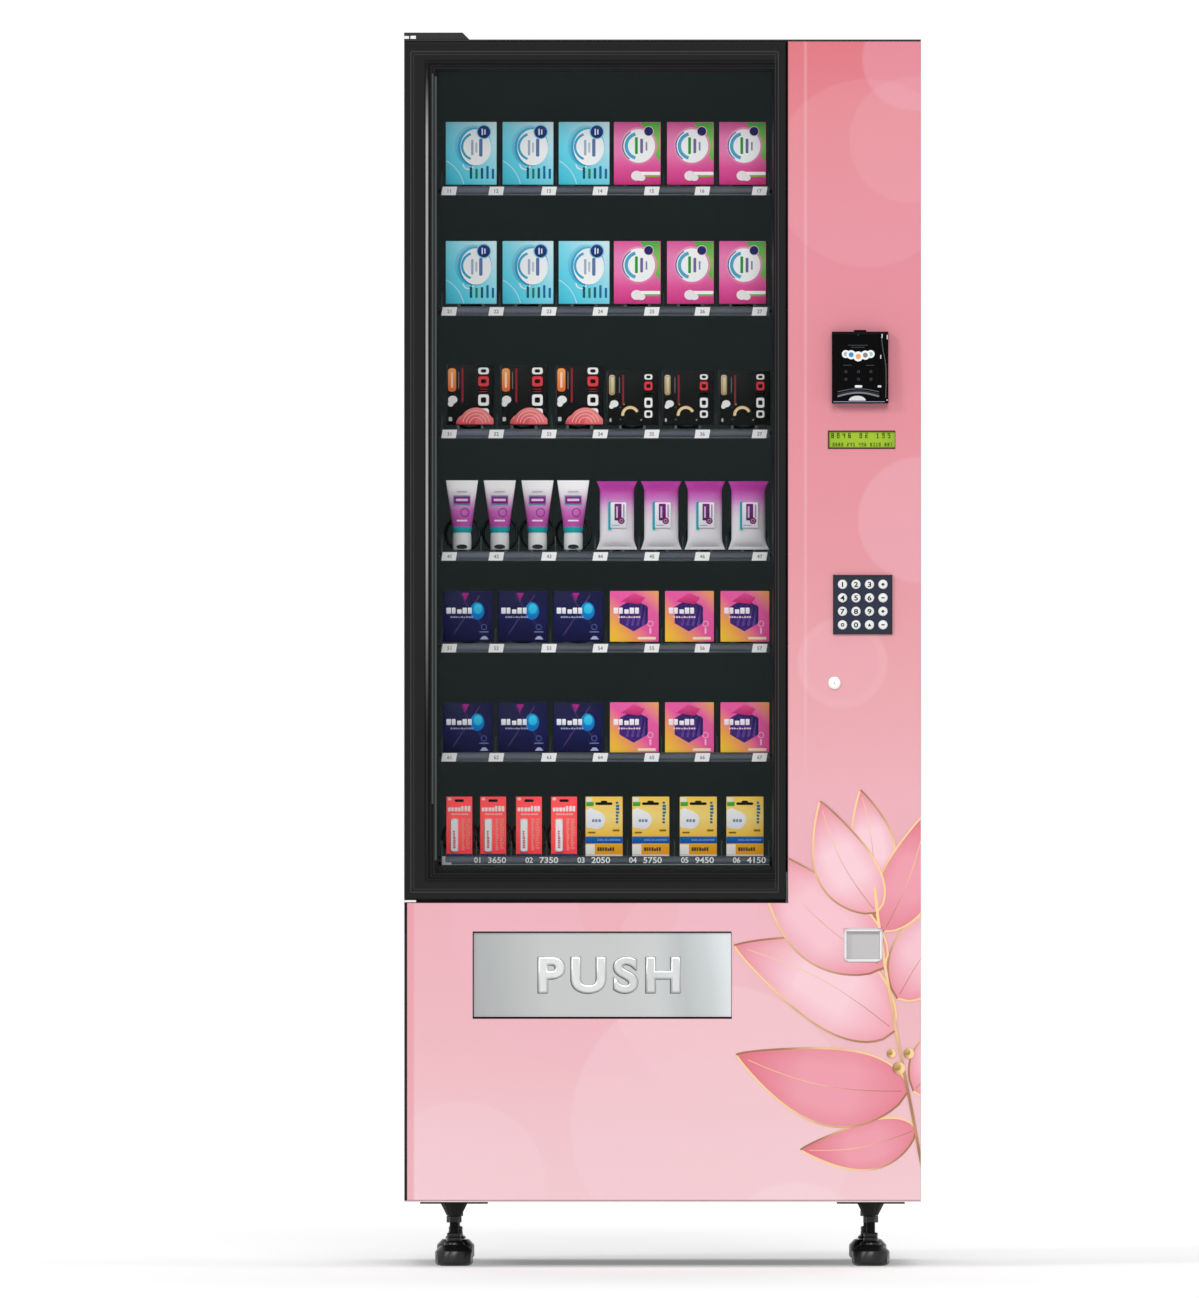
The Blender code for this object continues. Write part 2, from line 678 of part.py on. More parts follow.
def pouch_pack(name, x, z, size):
    """A soft pouch with a full belly and a flat crimp at each end."""
    width, height, thickness = size
    y = TRAY_FRONT + PACK_SETBACK + thickness / 2
    waist = width / 2 * PACK_WAIST_SHARE
    crimp = POUCH_CRIMP_THICKNESS / 2
    levels = (
        (width / 2, crimp, 0.0),
        (width / 2, crimp, POUCH_CRIMP),
        (waist, thickness / 2 * POUCH_BELLY_SHARE, height / 4),
        (waist, thickness / 2, height / 2),
        (waist, thickness / 2 * POUCH_BELLY_SHARE, height * 3 / 4),
        (width / 2, crimp, height - POUCH_CRIMP),
        (width / 2, crimp, height),
    )
    rings = []
    for half_width, half_depth, rise in levels:
        ring = []
        for u, v in circle(1.0, PACK_SIDES):
            flat = math.copysign(min(abs(u) ** 0.5, 1.0), u)
            ring.append((x + half_width * flat, y + half_depth * v, z + rise))
        rings.append(ring)
    return loft(name, rings)


def card_pack(name, x, z, size, blister_shares):
    """A hanging card that stands on its lower edge, with a clear blister in front of it."""
    width, height, thickness = size
    back = TRAY_FRONT + PACK_SETBACK + thickness
    card = block(name, span(x, width), (back - CARD_BOARD, back), (z, z + height))
    across, up = blister_shares
    bubble = block(
        f"{name}_blister",
        span(x, width * across),
        (back - thickness, back - CARD_BOARD + CARD_GRIP),
        (z + BLISTER_RISE, z + BLISTER_RISE + height * up),
    )
    return weld(card, bubble)


def build_packs(number, level, shares, kinds, material):
    """The front packs of one tray. One thin mat under them joins them, as a tray's packs share one node."""
    name = f"front_packs_{number}"
    y = (TRAY_FRONT + TRAY_SHEET + GAP, TRAY_FRONT + PACK_MAT_DEPTH)
    centres = lane_centres(shares)
    ends = (centres[0], centres[-1])
    mat = block(name, ends, y, (level + GAP, level + GAP + PACK_MAT), material)
    z = level + GAP + PACK_MAT - WELD
    made = []
    for i, (x, kind) in enumerate(zip(centres, kinds)):
        size = (PACK_WIDTH_SHARES[kind] * TRAY_WIDTH, *PACK_SIZES[kind])
        piece = f"{name}_{i}"
        if kind == "tube":
            made.append(tube_pack(piece, x, z, size))
        elif kind == "pouch":
            made.append(pouch_pack(piece, x, z, size))
        elif kind == "stick_card":
            made.append(card_pack(piece, x, z, size, STICK_BLISTER_SHARES))
        elif kind == "balm_card":
            made.append(card_pack(piece, x, z, size, BALM_BLISTER_SHARES))
        else:
            made.append(carton(piece, x, z, size))
    return weld(mat, *made)


def bend(corner, before, after, radius):
    """Points on the round corner between two straight directions at right angles."""
    centre = corner - before * radius + after * radius
    points = []
    for i in range(BEND_POINTS):
        angle = 0.5 * math.pi * i / (BEND_POINTS - 1)
        points.append(centre - after * radius * math.cos(angle) + before * radius * math.sin(angle))
    return points


def spiral_path():
    """A spiral's wire, from its front end to the stub in its motor, about an axis along Y through the origin."""
    front = TRAY_FRONT + SPIRAL_FRONT
    motor = TRAY_BACK - MOTOR_DEPTH - TRAY_SHEET - GAP
    back = motor - SPIRAL_STUB
    steps = SPIRAL_TURNS * SPIRAL_CURL_POINTS
    points = []
    for i in range(steps + 1):
        angle = 2 * math.pi * i / SPIRAL_CURL_POINTS - math.pi / 2
        depth = front + (back - front) * i / steps
        points.append(Vector((SPIRAL_RADIUS * math.cos(angle), depth, SPIRAL_RADIUS * math.sin(angle))))
    inward = Vector((0.0, 0.0, 1.0))
    rearward = Vector((0.0, 1.0, 0.0))
    points += bend(Vector((0.0, back, 0.0)), inward, rearward, SPIRAL_BEND)
    points.append(Vector((0.0, motor, 0.0)))
    return points


def least_gap(points, diameter):
    """The least distance between two stretches of one wire that lie more than half a turn apart along it."""
    apart = SPIRAL_CURL_POINTS // 2 + 1
    nearest = min(
        (a - b).length
        for i, a in enumerate(points)
        for b in points[i + apart :]
    )
    return nearest - diameter


def build_spirals(level, shares, material):
    path = spiral_path()
    print(f"least gap of a spiral's wire to itself: {least_gap(path, SPIRAL_WIRE) / MM:.1f} mm")
    wire = bpy.data.curves.new("spiral_wire", "CURVE")
    wire.dimensions = "3D"
    wire.bevel_depth = SPIRAL_WIRE / 2
    wire.bevel_resolution = 1
    wire.use_fill_caps = True
    line = wire.splines.new("POLY")
    line.points.add(len(path) - 1)
    for spot, point in zip(line.points, path):
        spot.co = (*point, 1.0)
    wire.materials.append(material)
    for i, x in enumerate(lane_centres(shares)):
        obj = bpy.data.objects.new(f"spiral_{i + 1}", wire)
        obj.location = (x, 0.0, level + spiral_height())
        bpy.context.scene.collection.objects.link(obj)


# Glass door
def rail_profile():
    """The rails' section: the share of a rail's width and the offset inwards, and the depth from the front."""
    face_drops = (
        RAIL_CHAMFER / 4, 0.0, 0.0, RIDGE_DROP, RIDGE_DROP, RIDGE_DROP / 4,
        RIDGE_DROP / 4, GROOVE_DROP / 2, GROOVE_DROP, GROOVE_DROP, INNER_RIDGE_DROP, INNER_RIDGE_DROP,
    )
    return [
        (0.0, 0.0, DOOR_DEPTH),
        (0.0, 0.0, RAIL_CHAMFER),
        *[(share, 0.0, drop) for share, drop in zip(RAIL_FACE_SHARES, face_drops)],
        (1.0, 0.0, LIP_DROP),
        (1.0, 0.0, LIP_BACK),
        (1.0, -GLASS_COVER, LIP_BACK),
        (1.0, -GLASS_COVER, DOOR_DEPTH),
        (1.0, -GLASS_COVER - RAIL_WALL, DOOR_DEPTH),
        (1.0, -GLASS_COVER - RAIL_WALL, RAIL_FRONT_WALL),
        (0.0, RAIL_WALL, RAIL_FRONT_WALL),
        (0.0, RAIL_WALL, DOOR_DEPTH),
    ]


def door_ring(share, offset, depth):
    """The rectangle that one point of the rails' section draws round the door."""
    left = LEFT + share * LEFT_RAIL + offset
    right = GLASS_DOOR_RIGHT - share * RIGHT_RAIL - offset
    low = GLASS_DOOR_BOTTOM + share * BOTTOM_RAIL + offset
    high = DOOR_TOP - share * TOP_RAIL - offset
    y = FRONT + depth
    return [(left, y, low), (right, y, low), (right, y, high), (left, y, high)]


def build_glass_door(frame_finish, glass_finish):
    frame = loft("door_frame", [door_ring(*spot) for spot in rail_profile()], frame_finish, round_trip=True)
    reach = RAIL_WALL + OVERRUN
    cut(
        frame,
        pivot_hole("door_hole_top", DOOR_PIVOT_X, (DOOR_TOP - reach, DOOR_TOP + OVERRUN)),
        pivot_hole("door_hole_foot", DOOR_PIVOT_X, (GLASS_DOOR_BOTTOM - OVERRUN, GLASS_DOOR_BOTTOM + reach)),
    )
    set_origin(frame, (DOOR_PIVOT_X, PIVOT_Y, GLASS_DOOR_BOTTOM))
    near, far = (door_ring(1.0, -GLASS_COVER + GAP, LIP_BACK + GAP + part) for part in (0.0, GLASS))
    glass = loft("door_glass", [near, far], glass_finish)
    set_origin(glass, (DOOR_PIVOT_X, PIVOT_Y, GLASS_DOOR_BOTTOM))


def build_door_hinges(cover_finish, plate_finish):
    """The cover over the upper pin, and the lower hinge plate that stands between the two doors."""
    face = (CABINET_TOP + GAP, CABINET_TOP + GAP + COVER_HEIGHT)
    outline = [
        (LEFT, face[0]), (LEFT + COVER_LENGTH + COVER_SLANT / 2, face[0]),
        (LEFT + COVER_LENGTH - COVER_SLANT / 2, face[1]), (LEFT, face[1]),
    ]
    plate("hinge_cover", outline, (FRONT + LIP_SETBACK, FRONT + LIP_SETBACK + COVER_DEPTH), cover_finish)
    middle = (GLASS_DOOR_BOTTOM + LOWER_PANEL_TOP) / 2
    z = span(middle, HINGE_PLATE)
    x = (LEFT, LEFT + HINGE_PLATE_WIDTH)
    back = BODY_FRONT - GAP
    foot = block("lower_door_hinge", x, (FRONT + LIP_SETBACK, back), z, plate_finish)
    leg = block("hinge_leg", x, (back - HINGE_LEG, back), (z[0] - HINGE_LEG_DROP, z[0] + WELD))
    weld(foot, leg, pivot_pin("lower_pin", DOOR_PIVOT_X, (z[1] - WELD, z[1] + PIN_LENGTH)))


# Service door
def inset(outline, distance):
    """A right-angled outline, drawn anticlockwise, moved inwards by a distance."""
    moved = []
    for before, point, after in zip(outline[-1:] + outline[:-1], outline, outline[1:] + outline[:1]):
        first = Vector((point[0] - before[0], point[1] - before[1])).normalized()
        second = Vector((after[0] - point[0], after[1] - point[1])).normalized()
        shift = Vector((-first.y - second.y, first.x + second.x)) * distance
        moved.append((point[0] + shift.x, point[1] + shift.y))
    return moved


def fascia_outline():
    left = LEFT + FASCIA_INSET
    return [
        (left, FASCIA_BOTTOM), (RIGHT, FASCIA_BOTTOM), (RIGHT, DOOR_TOP),
        (COLUMN_LEFT, DOOR_TOP), (COLUMN_LEFT, LOWER_PANEL_TOP), (left, LOWER_PANEL_TOP),
    ]


def flap_ears():
    """Two ears behind the skin that carry the push flap's pins."""
    ears = []
    y = (SKIN_BACK - WELD, FLAP_Y + FLAP_EAR_SIZE)
    for i, near in enumerate((PORT_LEFT - FLAP_MARGIN - RUN - FLAP_EAR, PORT_RIGHT + FLAP_MARGIN + RUN)):
        ears.append(block(f"ear_{i}", (near, near + FLAP_EAR), y, span(FLAP_PIN_Z, 2 * FLAP_EAR_SIZE)))
    return ears


def fascia_cuts():
    """The cutters for everything that passes through the skin."""
    y = (FRONT - OVERRUN, SKIN_BACK + OVERRUN)
    body = (KEYPAD_BODY + 2 * GAP, KEYPAD_BODY + 2 * GAP)
    neck = (READER_NECK_WIDTH + 2 * GAP, READER_NECK_HEIGHT + 2 * GAP)
    window = (DISPLAY_WIDTH + 2 * GAP, DISPLAY_HEIGHT + 2 * GAP)
    ledge = COIN_RIM - COIN_WALL - GAP
    cup = (COIN_WIDTH - 2 * ledge, COIN_HEIGHT - 2 * ledge)
    cutters = [block("cut_port", (PORT_LEFT, PORT_RIGHT), y, (PORT_BOTTOM, PORT_TOP))]
    for name, x, z, size in (
        ("cut_keypad", KEYPAD_X, KEYPAD_Z, body),
        ("cut_reader", READER_X, READER_Z, neck),
        ("cut_display", DISPLAY_X, DISPLAY_Z, window),
        ("cut_coin", COIN_X, COIN_Z, cup),
    ):
        cutters.append(block(name, span(x, size[0]), y, span(z, size[1])))
    cutters.append(turned_y("cut_lock", (LOCK_X, LOCK_Z), bar(BARREL_RADIUS + BARREL_PLAY, y), ROUND_SIDES))
    side = FLAP_MARGIN + FLAP_EAR + OVERRUN
    bore = bar(FLAP_PIN_RADIUS + FLAP_PIN_PLAY, (PORT_LEFT - side, PORT_RIGHT + side))
    cutters.append(turned_x("cut_flap_pin", (FLAP_Y, FLAP_PIN_Z), bore, ROUND_SIDES))
    reach = FASCIA_SHEET + OVERRUN
    cutters.append(pivot_hole("cut_pin_top", FASCIA_PIVOT_X, (DOOR_TOP - reach, DOOR_TOP + OVERRUN)))
    cutters.append(pivot_hole("cut_pin_foot", FASCIA_PIVOT_X, (FASCIA_BOTTOM - OVERRUN, FASCIA_BOTTOM + reach)))
    return cutters


def build_fascia(material):
    """The L-shaped folded skin with its returns, cut-outs and the flap's ears."""
    outer = fascia_outline()
    inner = inset(outer, FASCIA_SHEET)
    steps = (
        (inner, SKIN_BACK), (inner, DOOR_BACK), (outer, DOOR_BACK),
        (outer, FRONT + FASCIA_EDGE), (inset(outer, FASCIA_EDGE), FRONT),
    )
    skin = loft("service_door_skin", [[(x, y, z) for x, z in ring] for ring, y in steps], material)
    cut(weld(skin, *flap_ears()), *fascia_cuts())
    set_origin(skin, (FASCIA_PIVOT_X, PIVOT_Y, FASCIA_BOTTOM))


def build_lock(material):
    """The cam lock with its cam hanging, which is its open position."""
    cam_front = BODY_FRONT + SHEET + CAM_CLEARANCE
    profile = [
        (LOCK_RADIUS - LOCK_CHAMFER, FRONT - LOCK_PROUD), (LOCK_RADIUS, FRONT - LOCK_PROUD + LOCK_CHAMFER),
        (LOCK_RADIUS, FRONT - GAP), (BARREL_RADIUS, FRONT - GAP), (BARREL_RADIUS, cam_front + CAM_THICKNESS),
    ]
    lock = turned_y("cam_lock", (LOCK_X, LOCK_Z), profile, ROUND_SIDES, material)
    y = (cam_front, cam_front + CAM_THICKNESS)
    cam = block("cam", span(LOCK_X, CAM_WIDTH), y, (LOCK_Z - CAM_LENGTH, LOCK_Z))
    set_origin(smooth(weld(lock, cam)), (LOCK_X, FRONT, LOCK_Z))


def build_reader(material):
    """The card reader: a wedge with a swipe slot down its right side, and a neck through the skin."""
    x = span(READER_X, READER_WIDTH)
    z = span(READER_Z, READER_HEIGHT)
    foot = FRONT - READER_PROUD
    head = foot + READER_SLOPE
    outline = [
        (FRONT - GAP, z[0]), (foot + READER_EDGE, z[0]), (foot, z[0] + READER_EDGE),
        (head, z[1] - READER_EDGE), (head + READER_EDGE, z[1]), (FRONT - GAP, z[1]),
    ]
    reader = side_profile("card_reader", outline, x, material)
    bump = block(
        "bump",
        span(READER_X, READER_BUMP_WIDTH),
        (head + READER_EDGE, FRONT - GAP),
        (z[1] - WELD, z[1] + READER_BUMP),
    )
    y = (FRONT - GAP - WELD, SKIN_BACK + READER_NECK)
    neck = block("neck", span(READER_X, READER_NECK_WIDTH), y, span(READER_Z, READER_NECK_HEIGHT))
    slot = block(
        "swipe_slot",
        span(x[1] - READER_SLOT_INSET, READER_SLOT_WIDTH),
        (foot - OVERRUN, foot + READER_SLOT_DEPTH),
        (z[0] - OVERRUN, z[1] + OVERRUN),
    )
    return cut(weld(reader, bump, neck), slot)


def build_display(material):
    """The display: its window in the cut-out, and a wider module behind the skin."""
    window = block(
        "display",
        span(DISPLAY_X, DISPLAY_WIDTH),
        (FRONT + DISPLAY_SETBACK, SKIN_BACK + GAP + WELD),
        span(DISPLAY_Z, DISPLAY_HEIGHT),
        material,
    )
    module = block(
        "module",
        span(DISPLAY_X, DISPLAY_WIDTH + 2 * DISPLAY_FLANGE),
        (SKIN_BACK + GAP, SKIN_BACK + DISPLAY_DEPTH),
        span(DISPLAY_Z, DISPLAY_HEIGHT + 2 * DISPLAY_FLANGE),
    )
    return weld(window, module)


def key_places():
    """The sixteen keys' places, row by row from the top left."""
    first = (KEY_ROWS - 1) / 2 * KEY_PITCH
    return [
        (KEYPAD_X - first + column * KEY_PITCH, KEYPAD_Z + first - row * KEY_PITCH)
        for row in range(KEY_ROWS)
        for column in range(KEY_ROWS)
    ]


def build_keypad(plate_finish, key_finish):
    """The keypad's body with its round holes, and one key in each."""
    steps = (
        (KEYPAD_BODY, SKIN_BACK + KEYPAD_DEPTH), (KEYPAD_BODY, FRONT - GAP),
        (KEYPAD_SIZE, FRONT - GAP), (KEYPAD_SIZE, FRONT - KEYPAD_PROUD + KEYPAD_EDGE),
        (KEYPAD_SIZE - 2 * KEYPAD_EDGE, FRONT - KEYPAD_PROUD),
    )
    rings = []
    for size, y in steps:
        x, z = span(KEYPAD_X, size), span(KEYPAD_Z, size)
        rings.append([(x[0], y, z[0]), (x[1], y, z[0]), (x[1], y, z[1]), (x[0], y, z[1])])
    body = loft("keypad_body", rings, plate_finish)
    hole = bar(KEY_RADIUS + KEY_PLAY, (FRONT - KEYPAD_PROUD - OVERRUN, SKIN_BACK + KEYPAD_DEPTH + OVERRUN))
    cut(body, *[turned_y(f"key_hole_{i}", place, hole, ROUND_SIDES) for i, place in enumerate(key_places())])
    face = FRONT - KEYPAD_PROUD - KEY_PROUD
    back = SKIN_BACK + KEYPAD_DEPTH + GAP
    profile = [
        (KEY_RADIUS - KEY_CHAMFER, face), (KEY_RADIUS, face + KEY_CHAMFER), (KEY_RADIUS, back),
        (KEY_FLANGE_RADIUS, back), (KEY_FLANGE_RADIUS, back + KEY_FLANGE),
    ]
    for i, place in enumerate(key_places()):
        key = turned_y(f"key_{i + 1:02d}", place, profile, ROUND_SIDES, key_finish)
        set_origin(smooth(key), (place[0], face, place[1]))


def build_push_flap(material):
    """The steel flap that hangs from its pins behind the port's upper edge and rests against the skin."""
    y = span(FLAP_Y, FLAP_SHEET)
    x = (PORT_LEFT - FLAP_MARGIN, PORT_RIGHT + FLAP_MARGIN)
    flap = block("push_flap", x, y, (PORT_BOTTOM - FLAP_MARGIN, FLAP_PIN_Z), material)
    rod = bar(FLAP_PIN_RADIUS, (x[0] - FLAP_PIN_REACH, x[1] + FLAP_PIN_REACH))
    weld(flap, turned_x("flap_rod", (FLAP_Y, FLAP_PIN_Z), rod, ROUND_SIDES))
    set_origin(flap, (PORT_LEFT, FLAP_Y, FLAP_PIN_Z))


def build_coin_return(cup_finish, flap_finish):
    """The coin cup with its rounded rim, and the small flap that hangs in it."""
    x, z = span(COIN_X, COIN_WIDTH), span(COIN_Z, COIN_HEIGHT)
    rim = plate("coin_cup", rounded(x, z, COIN_CORNER), (FRONT - COIN_PROUD, FRONT - GAP), cup_finish)
    inner_x, inner_z = span(COIN_X, COIN_WIDTH - 2 * COIN_RIM), span(COIN_Z, COIN_HEIGHT - 2 * COIN_RIM)
    outer_x = (inner_x[0] - COIN_WALL, inner_x[1] + COIN_WALL)
    outer_z = (inner_z[0] - COIN_WALL, inner_z[1] + COIN_WALL)
    back = FRONT + COIN_DEPTH
    cup = block("cup", outer_x, (FRONT - GAP - WELD, back), outer_z)
    hollow = block("cup_hollow", inner_x, (FRONT - COIN_PROUD - OVERRUN, back - COIN_WALL), inner_z)
    pin_y = FRONT + COIN_FLAP_SETBACK
    sides = ROUND_SIDES // 2
    bore = bar(COIN_PIN_RADIUS + COIN_PIN_PLAY, (outer_x[0] - OVERRUN, outer_x[1] + OVERRUN))
    cut(weld(rim, cup), hollow, turned_x("coin_bore", (pin_y, COIN_PIN_Z), bore, sides))
    flap = block(
        "coin_flap",
        (inner_x[0] + COIN_FLAP_PLAY, inner_x[1] - COIN_FLAP_PLAY),
        span(pin_y, COIN_FLAP),
        (inner_z[0] + COIN_FLAP_PLAY, COIN_PIN_Z),
        flap_finish,
    )
    weld(flap, turned_x("coin_rod", (pin_y, COIN_PIN_Z), bar(COIN_PIN_RADIUS, outer_x), sides))
    set_origin(flap, (COIN_X, pin_y, COIN_PIN_Z))


# Inside the cabinet
def build_bin(material):
    """The delivery bin: open above the drop space and in front, with a sloped back and a tongue under the flap."""
    x = (LEFT + SHEET + GAP, PARTITION_LEFT - GAP)
    front = BODY_FRONT + SHEET + GAP
    sheet = BIN_SHEET
    outer = [
        (front, BIN_FLOOR - sheet), (BODY_FRONT + BIN_BACK_BOTTOM, BIN_FLOOR - sheet + BIN_BACK_RISE),
        (BODY_FRONT + BIN_BACK_TOP, BIN_TOP), (front, BIN_TOP),
    ]
    slope = (BIN_BACK_BOTTOM - BIN_BACK_TOP) / (BIN_TOP - BIN_FLOOR)
    over = BIN_TOP + OVERRUN
    inner = [
        (front + sheet, BIN_FLOOR), (BODY_FRONT + BIN_BACK_BOTTOM - sheet, BIN_FLOOR + BIN_BACK_RISE),
        (BODY_FRONT + BIN_BACK_TOP - sheet - slope * OVERRUN, over), (front + sheet, over),
    ]
    shell = side_profile("delivery_bin", outer, x, material)
    hollow = side_profile("bin_hollow", inner, (x[0] + sheet, x[1] - sheet))
    side = FLAP_MARGIN + BIN_MOUTH_MARGIN
    mouth_x = (PORT_LEFT - side, PORT_RIGHT + side)
    mouth = block("bin_mouth", mouth_x, (front - OVERRUN, front + sheet + OVERRUN), (BIN_FLOOR, BIN_MOUTH_TOP))
    cut(shell, hollow, mouth)
    y = (FRONT + BIN_TONGUE_SETBACK, front + sheet)
    return weld(shell, block("bin_tongue", mouth_x, y, (BIN_FLOOR - sheet, BIN_FLOOR)))


def build_control_box(material):
    """The box on the partition that holds the controller and power supply, open towards the service door."""
    x = (PARTITION_RIGHT + GAP, PARTITION_RIGHT + GAP + CONTROL_WIDTH)
    y = (BODY_FRONT + CONTROL_SETBACK, BODY_FRONT + CONTROL_SETBACK + CONTROL_DEPTH)
    z = (CONTROL_BOTTOM, CONTROL_BOTTOM + CONTROL_HEIGHT)
    shell = block("control_box", x, y, z, material)
    wall = CONTROL_SHEET
    inside = (y[0] - OVERRUN, y[1] - wall)
    return cut(shell, block("control_hollow", (x[0] + wall, x[1] - wall), inside, (z[0] + wall, z[1] - wall)))


def build_feet(material):
    """Levelling feet: pad, stem and lock nut as one turned body, with a stud up into the bracket's cone."""
    nut_foot = FOOT_TOP - NUT_HEIGHT
    profile = [
        (PAD_REST_RADIUS, 0.0), (PAD_RADIUS, PAD_ROLL), (PAD_RADIUS, PAD_EDGE), (PAD_SHOULDER_RADIUS, PAD_SHOULDER),
        (FLARE_RADIUS, PAD_SHOULDER), (FLARE_RADIUS, FLARE_TOP), (COLLAR_RADIUS, FLARE_TOP),
        (COLLAR_RADIUS, COLLAR_TOP), (STEM_RADIUS, COLLAR_TOP), (STEM_RADIUS, nut_foot), (NUT_RADIUS, nut_foot),
        (NUT_RADIUS, FOOT_TOP), (STUD_RADIUS, FOOT_TOP), (STUD_RADIUS, FOOT_TOP + STUD_REACH),
    ]
    names = ("front_left_foot", "front_right_foot", "rear_left_foot", "rear_right_foot")
    for name, place in zip(names, foot_places()):
        foot = upright(name, place, profile, FOOT_SIDES, material)
        set_origin(smooth(foot, 50), (*place, 0.0))


def main():
    clear_scene()
    black_steel = finish("black_powder_coat", (0.022, 0.022, 0.024), 0.45)
    pink_steel = finish("pink_wrap", (0.84, 0.42, 0.46), 0.4)
    brushed = finish("brushed_steel", (0.62, 0.62, 0.62), 0.32, 1.0)
    zinc = finish("zinc_plate", (0.55, 0.56, 0.58), 0.4, 1.0)
    grey_plastic = finish("grey_plastic", (0.62, 0.62, 0.63), 0.5)
    black_plastic = finish("black_plastic", (0.012, 0.012, 0.014), 0.2)
    navy_plastic = finish("navy_plastic", (0.02, 0.03, 0.06), 0.45)
    white_plastic = finish("white_plastic", (0.85, 0.85, 0.85), 0.4)
    lcd = finish("display_window", (0.45, 0.7, 0.05), 0.25)
    glass = finish("clear_glass", (0.9, 0.95, 0.95), 0.05, 0.0, 0.15)
    rubber = finish("black_rubber", (0.012, 0.012, 0.012), 0.6)
    board = finish("printed_board", (0.55, 0.25, 0.4), 0.5)
    left_wall = side_wall("left_side_panel", LEFT, 1, black_steel)
    weld(left_wall, *runners("left", LEFT + SHEET - WELD, TRAY_LEFT + RUNNER_REACH))
    side_wall("right_side_panel", RIGHT, -1, black_steel)
    build_partition(black_steel)
    build_top(black_steel)
    build_base(black_steel)
    build_rear(black_steel)
    for i, (level, (shares, kinds)) in enumerate(zip(TRAY_LEVELS, TRAY_STOCK)):
        build_tray(i + 1, level, shares, black_steel)
        build_packs(i + 1, level, shares, kinds, board)
    build_spirals(TRAY_LEVELS[0], TRAY_STOCK[0][0], zinc)
    build_glass_door(black_steel, glass)
    build_door_hinges(black_plastic, zinc)
    build_fascia(pink_steel)
    build_lock(zinc)
    build_reader(black_plastic)
    build_display(lcd)
    build_keypad(navy_plastic, white_plastic)
    build_push_flap(brushed)
    build_coin_return(white_plastic, grey_plastic)
    build_bin(zinc)
    build_control_box(zinc)
    build_feet(rubber)


main()
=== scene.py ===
import math
import random

import bmesh
import bpy
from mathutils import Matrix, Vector


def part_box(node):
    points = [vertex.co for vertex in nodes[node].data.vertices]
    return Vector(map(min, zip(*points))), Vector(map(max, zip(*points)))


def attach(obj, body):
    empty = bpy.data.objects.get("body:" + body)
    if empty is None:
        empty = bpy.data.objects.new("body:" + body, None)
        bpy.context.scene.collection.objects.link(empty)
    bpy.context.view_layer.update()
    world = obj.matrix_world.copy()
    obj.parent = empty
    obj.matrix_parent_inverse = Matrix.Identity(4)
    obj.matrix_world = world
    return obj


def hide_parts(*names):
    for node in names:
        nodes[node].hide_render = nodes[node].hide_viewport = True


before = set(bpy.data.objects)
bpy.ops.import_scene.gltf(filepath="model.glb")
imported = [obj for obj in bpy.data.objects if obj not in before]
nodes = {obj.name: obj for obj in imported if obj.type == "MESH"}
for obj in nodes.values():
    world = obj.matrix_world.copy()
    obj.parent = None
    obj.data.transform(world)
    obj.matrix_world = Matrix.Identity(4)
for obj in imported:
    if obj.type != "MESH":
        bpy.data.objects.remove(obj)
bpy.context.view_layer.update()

# Lengths are in millimetres until a piece is made, and shader places are in metres.
MM = 0.001
# The step between two layers of print
FILM = 0.15
# Planes across the machine, as y: the doors' front, the back of thin trim on it, the rear panel, the trays, the packs
DOOR_FACE = -388
TRIM_BACK = -386.6
BACK_FACE = 412
TRAY_FACE = -238
PACK_FACE = -234
TRAY_LEFT, TRAY_RIGHT = -330.3, 160.2
TRAYS = (
    # level, packs of the left half and of the right half, how far the front ones stand over their solids
    (1611.06, "sky", "rose", 3),
    (1431.07, "sky", "rose", 5),
    (1248, "coral", "moon", 7),
    (1065.06, "tube", "pouch", 3.5),
    (928, "navy", "sunset", 3.3),
    (764.94, "navy", "sunset", 0),
    (609.95, "stick", "balm", 0),
)
# The middles of the lanes as shares of a tray's width, by the packs of its left half
LANES = {
    "sky": (0.091, 0.264, 0.435, 0.597, 0.759, 0.918),
    "coral": (0.088, 0.252, 0.421, 0.582, 0.751, 0.923),
    "tube": (0.063, 0.178, 0.293, 0.402, 0.535, 0.67, 0.803, 0.936),
    "navy": (0.081, 0.248, 0.417, 0.588, 0.756, 0.925),
    "stick": (0.055, 0.158, 0.267, 0.374, 0.496, 0.638, 0.783, 0.925),
}


# Node sheets and finishes
class Value:
    """A socket on a sheet of nodes. An expression on it adds its Math nodes."""

    def __init__(self, sheet, socket):
        self.sheet, self.socket = sheet, socket

    def calc(self, operation, *terms):
        return self.sheet.node("ShaderNodeMath", {"operation": operation}, dict(enumerate(terms)))

    def __add__(self, other):
        return self.calc("ADD", self, other)

    def __sub__(self, other):
        return self.calc("SUBTRACT", self, other)

    def __mul__(self, other):
        return self.calc("MULTIPLY", self, other)

    def most(self, other):
        return self.calc("MAXIMUM", self, other)

    def rise(self, low, high):
        """0 up to low, 1 from high on, and a smooth step between them."""
        return self.sheet.node("ShaderNodeMapRange", {"interpolation_type": "SMOOTHSTEP"}, {0: self, 1: low, 2: high})

    def beside(self, output):
        """Another output of the same node."""
        return Value(self.sheet, self.socket.node.outputs[output])


